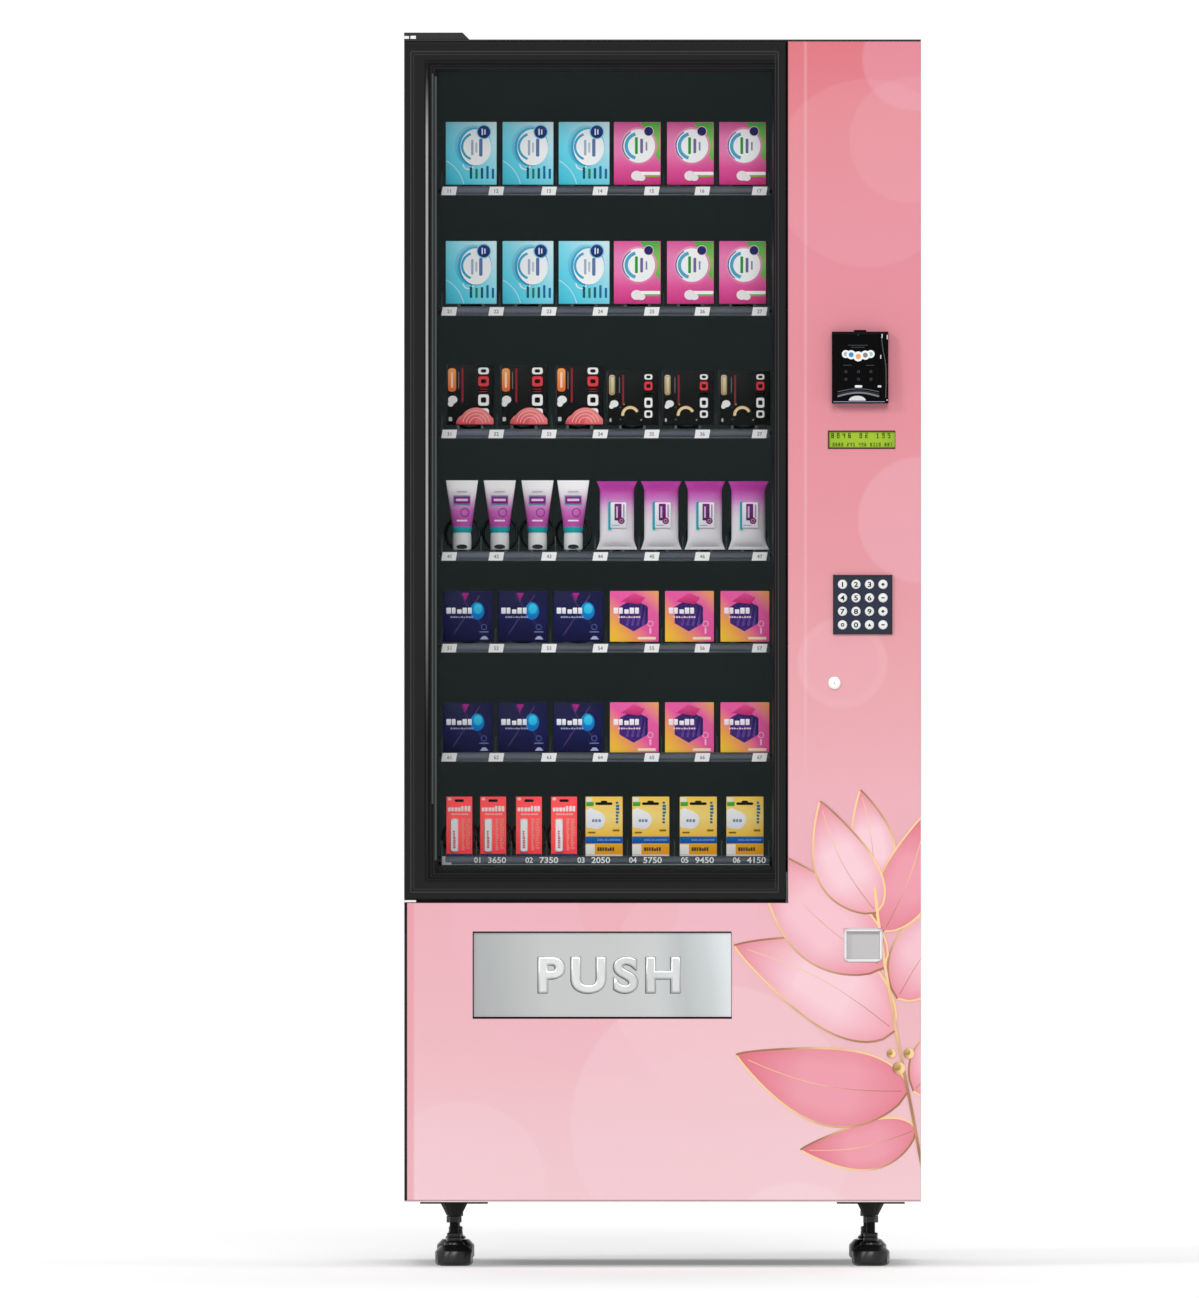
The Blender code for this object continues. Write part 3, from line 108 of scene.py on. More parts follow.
class Sheet:
    """The nodes of one finish, of the floor or of the world."""

    def __init__(self, tree):
        self.tree = tree

    def node(self, kind, settings=None, values=None, output=0):
        made = self.tree.nodes.new(kind)
        for name, setting in (settings or {}).items():
            if name == "stops":
                elements = made.color_ramp.elements
                while len(elements) < len(setting):
                    elements.new(1)
                for element, (place, colour) in zip(elements, setting):
                    element.position, element.color = place, (*paint(colour), 1)
            else:
                setattr(made, name, setting)
        for key, value in (values or {}).items():
            if isinstance(value, Value):
                self.tree.links.new(value.socket, made.inputs[key])
            else:
                made.inputs[key].default_value = value
        return Value(self, made.outputs[output])

    def mix(self, share, under, over, way="MIX"):
        """Two colours mixed by a share."""
        wide = [value if isinstance(value, Value) else (*paint(value), 1) for value in (under, over)]
        settings = {"data_type": "RGBA", "blend_type": way}
        return self.node("ShaderNodeMix", settings, {0: share, 6: wide[0], 7: wide[1]}, 2)

    def ramp(self, stops, place):
        """A colour ramp from its (place, code) stops."""
        return self.node("ShaderNodeValToRGB", {"stops": stops}, {0: place})

    def seen(self):
        """1 for the rays that look straight at a thing, in a mirror or through glass."""
        rays = self.node("ShaderNodeLightPath")
        straight, mirror, through = (rays.beside(f"Is {kind} Ray") for kind in ("Camera", "Glossy", "Transmission"))
        return straight.most(mirror).most(through)

    def join(self, value, socket):
        self.tree.links.new(value.socket, socket)

    def show(self, seen, other, straight, target):
        """Gives the rays that are seen one surface, and all other rays the other."""
        both = self.node("ShaderNodeMixShader", values={0: seen, 1: other, 2: straight})
        self.join(both, self.tree.nodes[target].inputs["Surface"])


class Finish(Sheet):
    """A material: what stays the same all over is set on its shader, and the rest is led to it."""

    def __init__(self, name, shine=0.5, **sockets):
        self.material = bpy.data.materials.new(name)
        self.material.use_nodes = True
        super().__init__(self.material.node_tree)
        self.shader = self.tree.nodes["Principled BSDF"]
        for socket, value in {"Specular IOR Level": shine, **sockets}.items():
            self.shader.inputs[socket].default_value = value
        self.place = self.node("ShaderNodeTexCoord", output="Object")
        self.uv = self.node("ShaderNodeUVMap", {"uv_map": "print"})

    def axes(self, place):
        x = self.node("ShaderNodeSeparateXYZ", values={0: place})
        return x, x.beside(1), x.beside(2)

    def noise(self, scale, detail=2, stretch=(1, 1, 1), start=(0, 0, 0)):
        """Soft noise, with scale features to the metre, drawn out along an axis by a small stretch."""
        settings = {"operation": "MULTIPLY_ADD"}
        place = self.node("ShaderNodeVectorMath", settings, {0: self.place, 1: stretch, 2: start})
        return self.node("ShaderNodeTexNoise", values={"Vector": place, "Scale": scale, "Detail": detail})

    def lead(self, **values):
        for socket, value in values.items():
            self.join(value, self.shader.inputs[socket.replace("_", " ")])

    def relief(self, height, depth):
        """A bump from a height of 0 to 1, depth metres deep."""
        self.lead(Normal=self.node("ShaderNodeBump", values={"Height": height, "Distance": depth, "Strength": 1}))

    def done(self, colour, rough, height, depth):
        """Leads in a colour, a roughness and a bump, and gives the material."""
        self.lead(Base_Color=colour, Roughness=rough)
        self.relief(height, depth)
        return self.material


def paint(code):
    """A screen colour such as e58d97 in the shader's linear values. Values pass as they are."""
    if not isinstance(code, str):
        return code
    parts = [int(code[i : i + 2], 16) / 255 for i in (0, 2, 4)]
    return tuple(p / 12.92 if p <= 0.04045 else ((p + 0.055) / 1.055) ** 2.4 for p in parts)


def shade(colour, factor):
    return tuple(min(1, part * factor) for part in colour)


def coated(name, code, spread, rough, uneven=0.1, grain=900, depth=1e-5, stretch=(1, 1, 1), shine=0.3):
    """A coat or a moulded skin: slow mottling, fine grain, and roughness that varies with handling."""
    finish = Finish(name, shine)
    colour = paint(code)
    slow = finish.noise(5, 4, stretch)
    fine = finish.noise(grain, 2, stretch)
    mottled = finish.mix(slow, shade(colour, 1 - spread), shade(colour, 1 + spread))
    speck = finish.mix(fine.rise(0.35, 0.75) * 0.22, mottled, shade(colour, 1 + 2 * spread))
    return finish.done(speck, finish.noise(22, 3, stretch) * uneven + (rough - uneven / 2), fine, depth)


def brushed(name, low, high, lines=(900, 30, 30), rough=0.3):
    """Brushed metal: fine lines drawn out along the brushing, and slow bands across it."""
    finish = Finish(name, Metallic=1)
    grain = finish.noise(max(lines), 3, tuple(line / max(lines) for line in lines))
    bands = finish.noise(5, 2, (1, 1, 0.12), (0.37, 0, 0))
    tone = finish.mix(bands.rise(0.3, 0.7) * 0.7 + grain * 0.3, low, high)
    return finish.done(tone, grain * 0.16 + (rough - 0.08), grain, 8e-6)


def door_film():
    """The printed film on the service door: salmon that fades to pale pink, with large soft discs and a thin upright
    painted highlight.
    """
    finish = Finish("pink_wrap", shine=0.1)
    x, _, z = finish.axes(finish.place)
    height = z * 0.5464
    stops = (
        (0.05, "eec8cd"), (0.1, "ecc2c9"), (0.19, "e9b5bc"), (0.29, "e7aeb8"), (0.38, "e7adb7"),
        (0.46, "e4a3aa"), (0.58, "e0959e"), (0.7, "df8d98"), (0.83, "de8a98"), (0.94, "dc808a"), (1, "d9747e"),
    )
    colour = finish.ramp(stops, height)
    flat = finish.node("ShaderNodeVectorMath", {"operation": "MULTIPLY"}, {0: finish.place, 1: (1, 0, 1)})
    discs = (
        (0.305, 1.63, 0.143, 0.13, "edb9c1"), (0.372, 1.679, 0.097, 0.12, "eebfc6"),
        (0.385, 1.113, 0.097, 0.3, "eab6c2"), (0.268, 0.9, 0.07, 0.26, "eebcc6"),
        (0.268, 0.9, 0.058, 0.24, "e19ba5"), (-0.086, 0.517, 0.232, 0.34, "eab3c1"),
        (-0.05, 0.54, 0.078, 0.4, "e6a7ad"), (0.11, 0.43, 0.19, 0.22, "efc6ce"),
        (0.199, 0.01, 0.119, 0.4, "f3d7db"), (0.075, 0.21, 0.215, 0.24, "f2d5da"),
        (0.375, 1.8, 0.08, 0.26, "ebaec3"), (-0.3, 0.12, 0.13, 0.2, "f2d5da"),
    )
    for centre_x, centre_z, radius, share, code in discs:
        values = {0: flat, 1: (centre_x, 0, centre_z)}
        reach = finish.node("ShaderNodeVectorMath", {"operation": "DISTANCE"}, values, 1)
        colour = finish.mix(reach.rise(radius, radius - 0.006) * share, colour, code)
    # Painted highlight: a thin pale upright line on the film, fading out below its upper part.
    painted_highlight_line = x.rise(0.2095, 0.2125) * x.rise(0.2165, 0.2135) * z.rise(0.7, 0.85) * 0.24
    colour = finish.mix(painted_highlight_line, colour, "f0cad0")
    colour = finish.mix(x.rise(-0.368, -0.373) * 0.45, colour, "e18893")
    colour = finish.mix(finish.noise(2200) * 0.02, colour, "ffffff")
    facing = finish.axes(finish.place.beside("Normal"))
    colour = finish.mix(facing[1].rise(0.4, 0.6), colour, "b9bbbd")
    return finish.done(colour, finish.noise(14, 3) * 0.1 + 0.33, finish.noise(320), 1.2e-5)


def printed(name, codes, along=1, rough=0.38, depth=6e-6):
    """Printed board or film: ink that fades across, up or aslant over the print, on the sheet's fibre."""
    finish = Finish(name, 0.05)
    codes = codes.split()
    across = finish.axes(finish.uv)
    place = (across[0] + across[1]) * 0.5 if along == 2 else across[along]
    last = len(codes) - 1
    ink = finish.ramp([(i / last, code) for i, code in enumerate(codes)] if last else [(0, codes[0])] * 2, place)
    fibre = finish.noise(900, 3)
    ink = finish.mix(fibre * 0.1, ink, "ffffff", "OVERLAY")
    return finish.done(ink, finish.noise(60) * 0.14 + (rough - 0.07), fibre, depth)


def rail_metal_painted_light():
    """The price rails: blue-grey satin metal, with painted light: paler to the left and along the lower lip as
    painted highlights, and darker at the top as painted shade.
    """
    finish = Finish("price_rail", Metallic=0.15, shine=0.15)
    u, v, _ = finish.axes(finish.uv)
    grain = finish.noise(700, 2, (0.05, 1, 1))
    slow = finish.noise(9, 2, (1, 1, 0.05))
    # Painted light: shade at the top, a paler band through the middle, a pale lower lip and a paler left end.
    body = finish.mix(v.rise(0.45, 0.95), "454c55", "24282e")
    body = finish.mix(v.rise(0.45, 0.22), body, "343941")
    body = finish.mix(v.rise(0.12, 0.03) * 0.6, body, "7b8087")
    body = finish.mix(u.rise(0.55, 0) * 0.25, body, "6f7384")
    body = finish.mix(slow.rise(0.45, 0.7) * 0.18, body, "6d7179")
    return finish.done(body, grain * 0.2 + 0.3, grain, 8e-6)


def clear_glass():
    """The door's pane: thin clear glass with a faint green tint and a few soft smears."""
    finish = Finish("door_glass", Roughness=0.03, IOR=1.5, shine=0.3)
    smear = finish.noise(3, 4, (1, 1, 0.3))
    tint = finish.mix(smear, "24302d", "2c3a36")
    finish.lead(Base_Color=tint, Alpha=smear.rise(0.45, 0.8) * 0.02 + 0.035)
    return finish.material


def flap_steel_painted_reflection():
    """The push flap's steel: brushed upright, with soft bands of painted reflection that brighten towards its right
    edge.
    """
    finish = Finish("brushed_steel", Metallic=1)
    x, _, z = finish.axes(finish.place)
    grain = finish.noise(1100, 3, (1, 1, 0.011))
    slow = finish.noise(6, 2, (1, 1, 0.5))
    # Painted reflection: a fixed ramp across the flap, darker at the left and brightest at its right edge.
    share = (x + z * 0.1 + slow * 0.05 + 0.281 - 0.069) * 2.61
    stops = (
        (0, "999a9c"), (0.1, "a1a3a3"), (0.28, "b3b4b4"), (0.52, "b4b5b5"),
        (0.72, "b9bbbb"), (0.83, "a9adae"), (0.93, "b8bdbe"), (1, "ced2d4"),
    )
    bands = finish.ramp(stops, share)
    return finish.done(finish.mix(grain * 0.3, bands, "9fa2a3"), grain * 0.16 + 0.24, grain, 8e-6)


def base_coat():
    """The base pan's black coat, with a pale lip under the film."""
    finish = Finish("base_coat", shine=0.2)
    _, y, z = finish.axes(finish.place)
    slow = finish.noise(5, 4)
    coat = finish.mix(slow, "171718", "212123")
    lip = y.rise(-0.3852, -0.3858) * z.rise(0.0964, 0.0967)
    return finish.done(finish.mix(lip, coat, "e3cdd0"), slow * 0.1 + 0.41, finish.noise(900), 4e-5)


def bead_with_painted_highlight():
    """The bead on the glass door, with a painted highlight: bright in its upper part, dull towards its ends."""
    finish = Finish("bead_highlight_metal", Metallic=0.8, shine=0.3)
    z = finish.axes(finish.place)[2]
    grain = finish.noise(900, 3, (1, 1, 0.02))
    # Painted highlight: the bead's colour is bright over its upper middle and fades to dark towards both ends.
    bright = z.rise(0.78, 1.15) * z.rise(1.79, 1.66)
    tone = finish.mix(bright, "1d1d1e", "9b9b9b")
    return finish.done(finish.mix(grain * 0.3, tone, "303031"), grain * 0.2 + 0.3, grain, 8e-6)


def lit(material, code, strength):
    """A faint painted glow of the material's own, which evens out the shade in a recess; the part glows though it is
    no lamp.
    """
    shader = material.node_tree.nodes["Principled BSDF"]
    shader.inputs["Emission Color"].default_value = (*paint(code), 1)
    shader.inputs["Emission Strength"].default_value = strength


def lit_display():
    """The display's lit field: yellow-green, brighter in the middle, with its fine cells."""
    finish = Finish("display_window", Roughness=0.25, shine=0.3)
    x, _, z = finish.axes(finish.place)
    off = (x - 0.2965) * (x - 0.2965) * 260 + (z - 1.2325) * (z - 1.2325) * 1500
    glow = finish.mix(off.rise(0, 1), "9abb22", "86a81b")
    rows = finish.node("ShaderNodeTexWave", {"bands_direction": "Z"}, {"Vector": finish.place, "Scale": 160})
    colour = finish.mix(rows * 0.1, glow, "7da80f")
    finish.lead(Base_Color=colour, Emission_Color=colour)
    finish.shader.inputs["Emission Strength"].default_value = 0.05
    finish.relief(rows, 1e-5)
    return finish.material


def gold_line():
    """The gold edge of the printed leaves: pale gold that darkens to brown along each leaf."""
    finish = Finish("gold_ink", Metallic=0.25, shine=0.4)
    along = finish.axes(finish.uv)[0]
    slow = finish.noise(14)
    ink = finish.mix((along + slow * 0.7).rise(0.35, 1.1), "9c6a4a", "edc890")
    return finish.done(ink, finish.noise(500) * 0.15 + 0.3, finish.noise(900), 1e-5)


def leaf_ink(name, tip, middle, foot):
    """A printed leaf: deep rose at the tip and the foot, pale in the middle, with a soft midrib."""
    finish = Finish(name, shine=0.1)
    u, v, _ = finish.axes(finish.uv)
    ink = finish.ramp(((0, foot), (0.32, middle), (0.6, middle), (1, tip)), u)
    edge = (v - 0.5).calc("ABSOLUTE", v - 0.5).rise(0.2, 0.55) * 0.35
    ink = finish.mix(edge, ink, tip)
    return finish.done(ink, finish.noise(14, 3) * 0.1 + 0.33, finish.noise(320), 1.2e-5)


steel_coat = coated("black_powder_coat", "1c1c1e", 0.12, 0.46, depth=4e-5, shine=0.25)
door_coat = coated("black_aluminium", "0d0d0e", 0.1, 0.4, 0.08, 700, stretch=(1, 1, 0.03), shine=0.09)
# Painted glow on the glass door's frame coat, which lifts its inner faces out of their shade.
lit(door_coat, "1b1b1b", 0.6)
bay_coat = coated("tray_coat", "4c5858", 0.12, 0.5, 0.08, depth=3e-5, shine=0.2)
# Painted glow on the trays, the pack rests and the bay liner, which lifts the bay out of its shade.
lit(bay_coat, "212828", 0.6)
bead_highlight_metal = bead_with_painted_highlight()
# Painted highlights: pale flat strips on two inner steps of the glass door's left rail.
inner_bead_highlight = coated("inner_bead_highlight", "414243", 0.15, 0.4, stretch=(1, 1, 0.02), shine=0.2)
edge_line_highlight = coated("edge_line_highlight", "3a4242", 0.15, 0.4, stretch=(1, 1, 0.02), shine=0.2)
# Painted highlight: paler flat lines that trace the ridges round the glass door's frame.
ridge_highlight_coat = coated("ridge_highlight_coat", "202021", 0.12, 0.36)
film = door_film()
flap_steel = flap_steel_painted_reflection()
zinc = brushed("zinc_plate", "7d8084", "a9adb0", (60, 60, 60), 0.38)
dark_zinc = brushed("dark_zinc", "1d1e20", "2b2d2f", (60, 60, 60), 0.42)
wire_coat = coated("spiral_wire", "0f1011", 0.15, 0.32, grain=600)
chrome = brushed("lock_chrome", "d9d8d2", "f3f2ee", (500, 500, 500), 0.3)
glass = clear_glass()
black_plastic = coated("black_plastic", "121214", 0.15, 0.42, 0.12, 1100, 3e-5)
black_gloss = coated("black_gloss", "040405", 0.15, 0.1, 0.08, 60, 2e-5, shine=0.05)
edge_chrome = brushed("edge_chrome", "4c524f", "9aa29e", (300, 300, 40), 0.22)
display_light = lit_display()
navy_plastic = coated("navy_plastic", "162038", 0.1, 0.45, grain=1500, depth=3e-5, shine=0.25)
white_plastic = coated("white_plastic", "e6e6e6", 0.03, 0.36)
# Black for painted shade in gaps and recesses
painted_shade_black = coated("painted_shade_black", "040405", 0.15, 0.5, shine=0.05)
cup_plastic = coated("cup_plastic", "dedddd", 0.03, 0.42, depth=2e-5)
lip_plastic = coated("lip_plastic", "d2d1d1", 0.03, 0.42, depth=2e-5)
grey_plastic = coated("grey_plastic", "b5b3b4", 0.03, 0.42, depth=2e-5)
# Painted glow in the coin cup and on its flap, which lifts the shade of the recess; the cup's plastic is also paler
# than the lip's as painted light in the same recess.
lit(cup_plastic, "d0cfcf", 0.2)
lit(grey_plastic, "a8a6a7", 0.12)
rubber = coated("black_rubber", "121213", 0.2, 0.3, 0.14, 500, 4e-5, shine=0.35)
nylon = coated("white_nylon", "ececea", 0.03, 0.5, grain=700, depth=2e-5, shine=0.5)
tag_card = printed("tag_card", "f4f5f5", rough=0.5)
grey_ink = printed("grey_ink", "83888c", rough=0.5)
dark_ink = printed("dark_ink", "15171b", rough=0.5)
display_ink = printed("display_ink", "2f3a0c", rough=0.4)
display_edge = coated("display_edge", "43300c", 0.1, 0.3)
strip_metal = rail_metal_painted_light()
gold = gold_line()
circuit = coated("circuit_board", "1d5a36", 0.15, 0.4, grain=300, depth=2e-5, shine=0.5)
brass = brushed("pin_brass", "a98b4e", "d3b878", (400, 400, 400), 0.3)

INKS = {}


def ink(codes, along=1, rough=0.38, depth=6e-6):
    """The print of these colours, made once and used wherever it comes again."""
    if (codes, along) not in INKS:
        INKS[codes, along] = printed("ink_" + codes.replace(" ", "_"), codes, along, rough, depth)
    return INKS[codes, along]


# Pieces
def in_scene(name, data):
    """A new object in the scene."""
    made = bpy.data.objects.new(name, data)
    bpy.context.scene.collection.objects.link(made)
    return made


class Piece:
    """The faces of one piece, each with its finish and its place on the print."""

    def __init__(self):
        self.points, self.faces, self.finishes, self.prints = [], [], [], []

    def add(self, points, faces, finish, prints=None):
        start = len(self.points)
        self.points += [tuple(point) for point in points]
        for face in faces:
            self.faces.append([start + i for i in face])
            self.finishes.append(finish)
            self.prints.append([prints[i] for i in face] if prints else [(0.5, 0.5)] * len(face))

    def block(self, x, y, z, finish):
        """A box; its print runs from 0 to 1 over x and z."""
        points = [(a, b, c) for c in z for b in y for a in x]
        prints = [(u, v) for v in (0, 1) for _ in (0, 1) for u in (0, 1)]
        faces = ((0, 1, 5, 4), (1, 3, 7, 5), (3, 2, 6, 7), (2, 0, 4, 6), (4, 5, 7, 6), (1, 0, 2, 3))
        self.add(points, faces, finish, prints)

    def rings(self, rings, finish, prints=None, closed=True):
        """A skin over rings with the same number of points, capped at both ends."""
        count = len(rings[0])
        points = [point for ring in rings for point in ring]
        faces = []
        for a in range(0, len(points) - count, count):
            for i in range(count):
                j = (i + 1) % count
                faces.append((a + i, a + j, a + count + j, a + count + i))
        if closed:
            faces.append(tuple(range(count - 1, -1, -1)))
            faces.append(tuple(range(len(points) - count, len(points))))
        self.add(points, faces, finish, prints)

    def turned(self, profile, centre, finish, axis=2, sides=32):
        """A profile of (radius, place) turned round an axis through centre."""
        rings = []
        for radius, along in profile:
            ring = []
            for i in range(sides):
                angle = math.tau * i / sides
                a, b = radius * math.cos(angle), radius * math.sin(angle)
                off = ((along, a, b), (a, along, -b), (a, b, along))[axis]
                ring.append([middle + part for middle, part in zip(centre, off)])
            rings.append(ring)
        self.rings(rings, finish)

    def patch(self, outline, y, finish, thick=0):
        """A flat shape facing the front, from its (x, z) outline; it has sides when thick is given."""
        if area(outline) < 0:
            outline = outline[::-1]
        xs, zs = zip(*outline)
        wide, tall = max(xs) - min(xs), max(zs) - min(zs)
        prints = [((x - min(xs)) / wide, (z - min(zs)) / tall) for x, z in outline]
        front = [(x, y, z) for x, z in outline]
        if thick:
            self.rings([[(x, y + thick, z) for x, z in outline], front], finish, prints * 2)
        else:
            self.add(front, [range(len(outline))], finish, prints)

    def ribbon(self, path, width, y, finish, closed=False):
        """A flat line of one width along an (x, z) path."""
        count = len(path)
        points, prints = [], []
        for i, (x, z) in enumerate(path):
            before = path[i - 1] if i or closed else path[i]
            after = path[(i + 1) % count] if i < count - 1 or closed else path[i]
            run = Vector((after[0] - before[0], after[1] - before[1])).normalized()
            for side in (-0.5, 0.5):
                points.append((x - run.y * width * side, y, z + run.x * width * side))
                prints.append((i / max(1, count - 1), side + 0.5))
        pairs = [(2 * i, 2 * ((i + 1) % count)) for i in range(count if closed else count - 1)]
        self.add(points, [(a, b, b + 1, a + 1) for a, b in pairs], finish, prints)

    def words(self, text, tall, centre, y, finish, wide=1):
        """Digits facing the front, centred, tall millimetres high."""
        points, faces = letters(text)
        middle = (min(points)[0] + max(points)[0]) / 2
        placed = [(centre[0] + (a - middle) * tall * wide, y, centre[1] + (b - 0.5) * tall) for a, b in points]
        self.add(placed, faces, finish)

    def make(self, name, body, bevel=0, angle=35, holes=(), inside=None):
        """The finished object, riding on its body."""
        mesh = bpy.data.meshes.new(name)
        mesh.from_pydata([Vector(point) * MM for point in self.points], [], self.faces)
        used = list(dict.fromkeys(self.finishes))
        for material in used:
            mesh.materials.append(material)
        layer = mesh.uv_layers.new(name="print")
        for polygon, finish, prints in zip(mesh.polygons, self.finishes, self.prints):
            polygon.material_index = used.index(finish)
            for loop, place in zip(polygon.loop_indices, prints):
                layer.data[loop].uv = place
        if inside:
            trim(mesh, holes, inside)
        mesh.shade_smooth()
        mesh.set_sharp_from_angle(angle=math.radians(angle))
        made = in_scene(name, mesh)
        if bevel:
            soften(made, bevel)
        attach(made, body)
        return made


def area(outline):
    return sum(a[0] * b[1] - b[0] * a[1] for a, b in zip(outline, outline[1:] + outline[:1])) / 2


def trim(mesh, holes, inside):
    """Cuts a flat print at the (x, z) limits inside, and takes the (x, z) rectangles holes out of it."""
    work = bmesh.new()
    work.from_mesh(mesh)
    for box in (inside, *holes):
        for axis, limits in zip((0, 2), box):
            for limit in limits:
                point, normal = [0, 0, 0], [0, 0, 0]
                point[axis], normal[axis] = limit * MM, 1
                everything = work.verts[:] + work.edges[:] + work.faces[:]
                bmesh.ops.bisect_plane(work, geom=everything, plane_co=point, plane_no=normal)
        gone = []
        for face in work.faces:
            middle = face.calc_center_median() / MM
            within = box[0][0] < middle.x < box[0][1] and box[1][0] < middle.z < box[1][1]
            if within != (box is inside):
                gone.append(face)
        bmesh.ops.delete(work, geom=gone, context="FACES")
    work.to_mesh(mesh)
    work.free()


def soften(piece, width):
    """Rounds a piece's edges by width millimetres."""
    bevel = piece.modifiers.new("edges", "BEVEL")
    bevel.width, bevel.segments = width * MM, 2
    bevel.limit_method, bevel.angle_limit = "ANGLE", math.radians(40)
    bevel.harden_normals = True


LETTERS = {}


def letters(text):
    """The flat outline faces of a text, one unit high."""
    if text not in LETTERS:
        curve = bpy.data.curves.new("letters", "FONT")
        curve.body, curve.dimensions, curve.fill_mode = text, "2D", "BOTH"
        curve.resolution_u, curve.offset = 4, 0.022
        holder = bpy.data.objects.new("letters", curve)
        mesh = bpy.data.meshes.new_from_object(holder)
        tall = max(v.co.y for v in mesh.vertices)
        points = [(v.co.x / tall, v.co.y / tall) for v in mesh.vertices]
        faces = [tuple(p.vertices) for p in mesh.polygons if p.normal.z > 0.5]
        LETTERS[text] = (points, faces)
        bpy.data.objects.remove(holder)
        bpy.data.meshes.remove(mesh)
        bpy.data.curves.remove(curve)
    return LETTERS[text]


def arc(centre, radius, start=0, end=360, steps=28, flat=1):
    """Points of an arc in degrees; flat squeezes it in height."""
    count = steps if end - start >= 360 else steps + 1
    angles = [math.radians(start + (end - start) * i / steps) for i in range(count)]
    return [(centre[0] + radius * math.cos(turn), centre[1] + radius * flat * math.sin(turn)) for turn in angles]


def corners(x, z):
    """A rectangle's corners from its limits."""
    return [(x[0], z[0]), (x[1], z[0]), (x[1], z[1]), (x[0], z[1])]


def rounded(x, z, radius, steps=4):
    """A rectangle with round corners."""
    left, right, low, high = x[0] + radius, x[1] - radius, z[0] + radius, z[1] - radius
    outline = []
    for i, centre in enumerate(((right, high), (left, high), (left, low), (right, low))):
        outline += arc(centre, radius, 90 * i, 90 * i + 90, steps)
    return outline


def boxes(name, body, bevel, finish, *limits):
    """A piece made of boxes of one finish, from their limits along x, y and z."""
    piece = Piece()
    for box in limits:
        piece.block(*box, finish)
    return piece.make(name, body, bevel)


def rim(name, outer, inner, base, top, finish, bevel):
    """A ring on the service door between two outlines, from its base out to its top."""
    piece = Piece()
    steps = ((outer, base), (outer, top), (inner, top), (inner, base))
    piece.rings([[(x, y, z) for x, z in outline] for outline, y in steps], finish, closed=False)
    piece.make(name, "service_door", bevel)


def dress(names, material, bevel=0):
    """Gives a CAD node its finish, and rounds its edges."""
    for name in names.split():
        node = nodes[name]
        for slot in node.material_slots:
            slot.material = material
        if bevel:
            soften(node, bevel)


# The cabinet and its doors
def dress_nodes():
    dress("left_side_panel right_side_panel top_panel rear_panel", steel_coat, 0.8)
    dress("base_pan", base_coat(), 0.8)
    dress("column_partition", steel_coat, 0.5)
    dress("hinge_cover", black_plastic, 1.5)
    dress("lower_door_hinge", dark_zinc, 0.6)
    dress("door_frame", door_coat, 0.5)
    dress("door_glass", glass)
    dress("service_door_skin", film)
    dress("cam_lock", chrome, 0.4)
    dress("card_reader", black_gloss, 2)
    dress("display", display_light)
    dress("keypad_body", navy_plastic, 0.5)
    dress("push_flap", flap_steel)
    dress("coin_cup", cup_plastic, 0.9)
    dress("coin_flap", grey_plastic, 0.4)
    dress("delivery_bin control_box", zinc, 0.4)
    dress(" ".join(f"product_tray_{i}" for i in range(1, 8)), bay_coat)
    dress(" ".join(f"spiral_{i}" for i in range(1, 7)), wire_coat)
    dress(" ".join(f"key_{i:02d}" for i in range(1, 17)), white_plastic, 0.7)


def door_trim():
    """The glass door's bead, thin bands and ridge lines, all three with painted highlights, its sill and seal, a
    black strip of painted shade under it, its hinge bushes and the liner behind it.
    """
    bead = Piece()
    middle, back = -351, -387.6
    waves = [math.pi * i / 8 for i in range(9)]
    half = [(-2.2 + 2.2 * (1 - math.cos(wave)), -1.1 * math.sin(wave)) for wave in waves]
    rings = []
    for z, pinch in ((621, 0.25), (640, 1), (1000, 1), (1500, 1), (1765, 1), (1784, 0.25)):
        rings.append([(middle + x * pinch, back + y * pinch, z) for x, y in half])
    bead.rings(rings, bead_highlight_metal)
    # Painted highlights on the left rail's inner steps
    bead.block((-343.9, -341.4), (DOOR_FACE, TRIM_BACK), (690, 1778), inner_bead_highlight)
    bead.block((-339.6, -336.4), (DOOR_FACE, TRIM_BACK), (606, 1774), edge_line_highlight)
    bead.make("left_bead", "glass_door")
    boxes("door_sill", "glass_door", 0.2, door_coat, ((-333, 162.6), (-358, -356.8), (589, 597.4)))
    # Painted highlight lines along the frame's ridges
    ridge = Piece()
    for inset, width in ((0, 2), (4.2, 1)):
        path = corners((-375 + inset, 172.4 - inset), (558.6 + inset, 1811 - inset))
        for ends in zip(path, path[1:] + path[:1]):
            ridge.ribbon(ends, width, DOOR_FACE - FILM, ridge_highlight_coat)
    ridge.make("frame_ridge_highlight", "glass_door")
    (left, right), (foot, top), depth = (-378, 177), (554, 1819), (-345.8, -341.2)
    upright = [((x, x + 8), depth, (foot, top)) for x in (left, right - 8)]
    level = [((left + 8.2, right - 8.2), depth, (z, z + 8)) for z in (foot, top - 8)]
    boxes("door_seal", "glass_door", 1.2, rubber, *upright, *level)
    # Painted shade: a black strip fills the gap under the glass door.
    boxes("sill_gap_shade", "service_door", 0.3, painted_shade_black, ((-366.5, 183.4), (-387.2, -350), (542.6, 546.4)))
    boxes("lower_hinge_bush", "cabinet", 0.6, nylon, ((-385, -367.2), (-387.4, -349), (543.4, 546.6)))
    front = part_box("hinge_cover")[0].y / MM
    sheet = (front - 0.4, front + 3)
    bushes = (((-384.9, -377.6), sheet, (1829.8, 1834.2)), ((-375.6, -367.4), sheet, (1829.8, 1834.6)))
    boxes("upper_hinge_bush", "cabinet", 0.5, nylon, *bushes)
    boxes("bay_liner", "cabinet", 0, bay_coat, ((-380, 184.5), (407, 408.2), (600, 1822)))


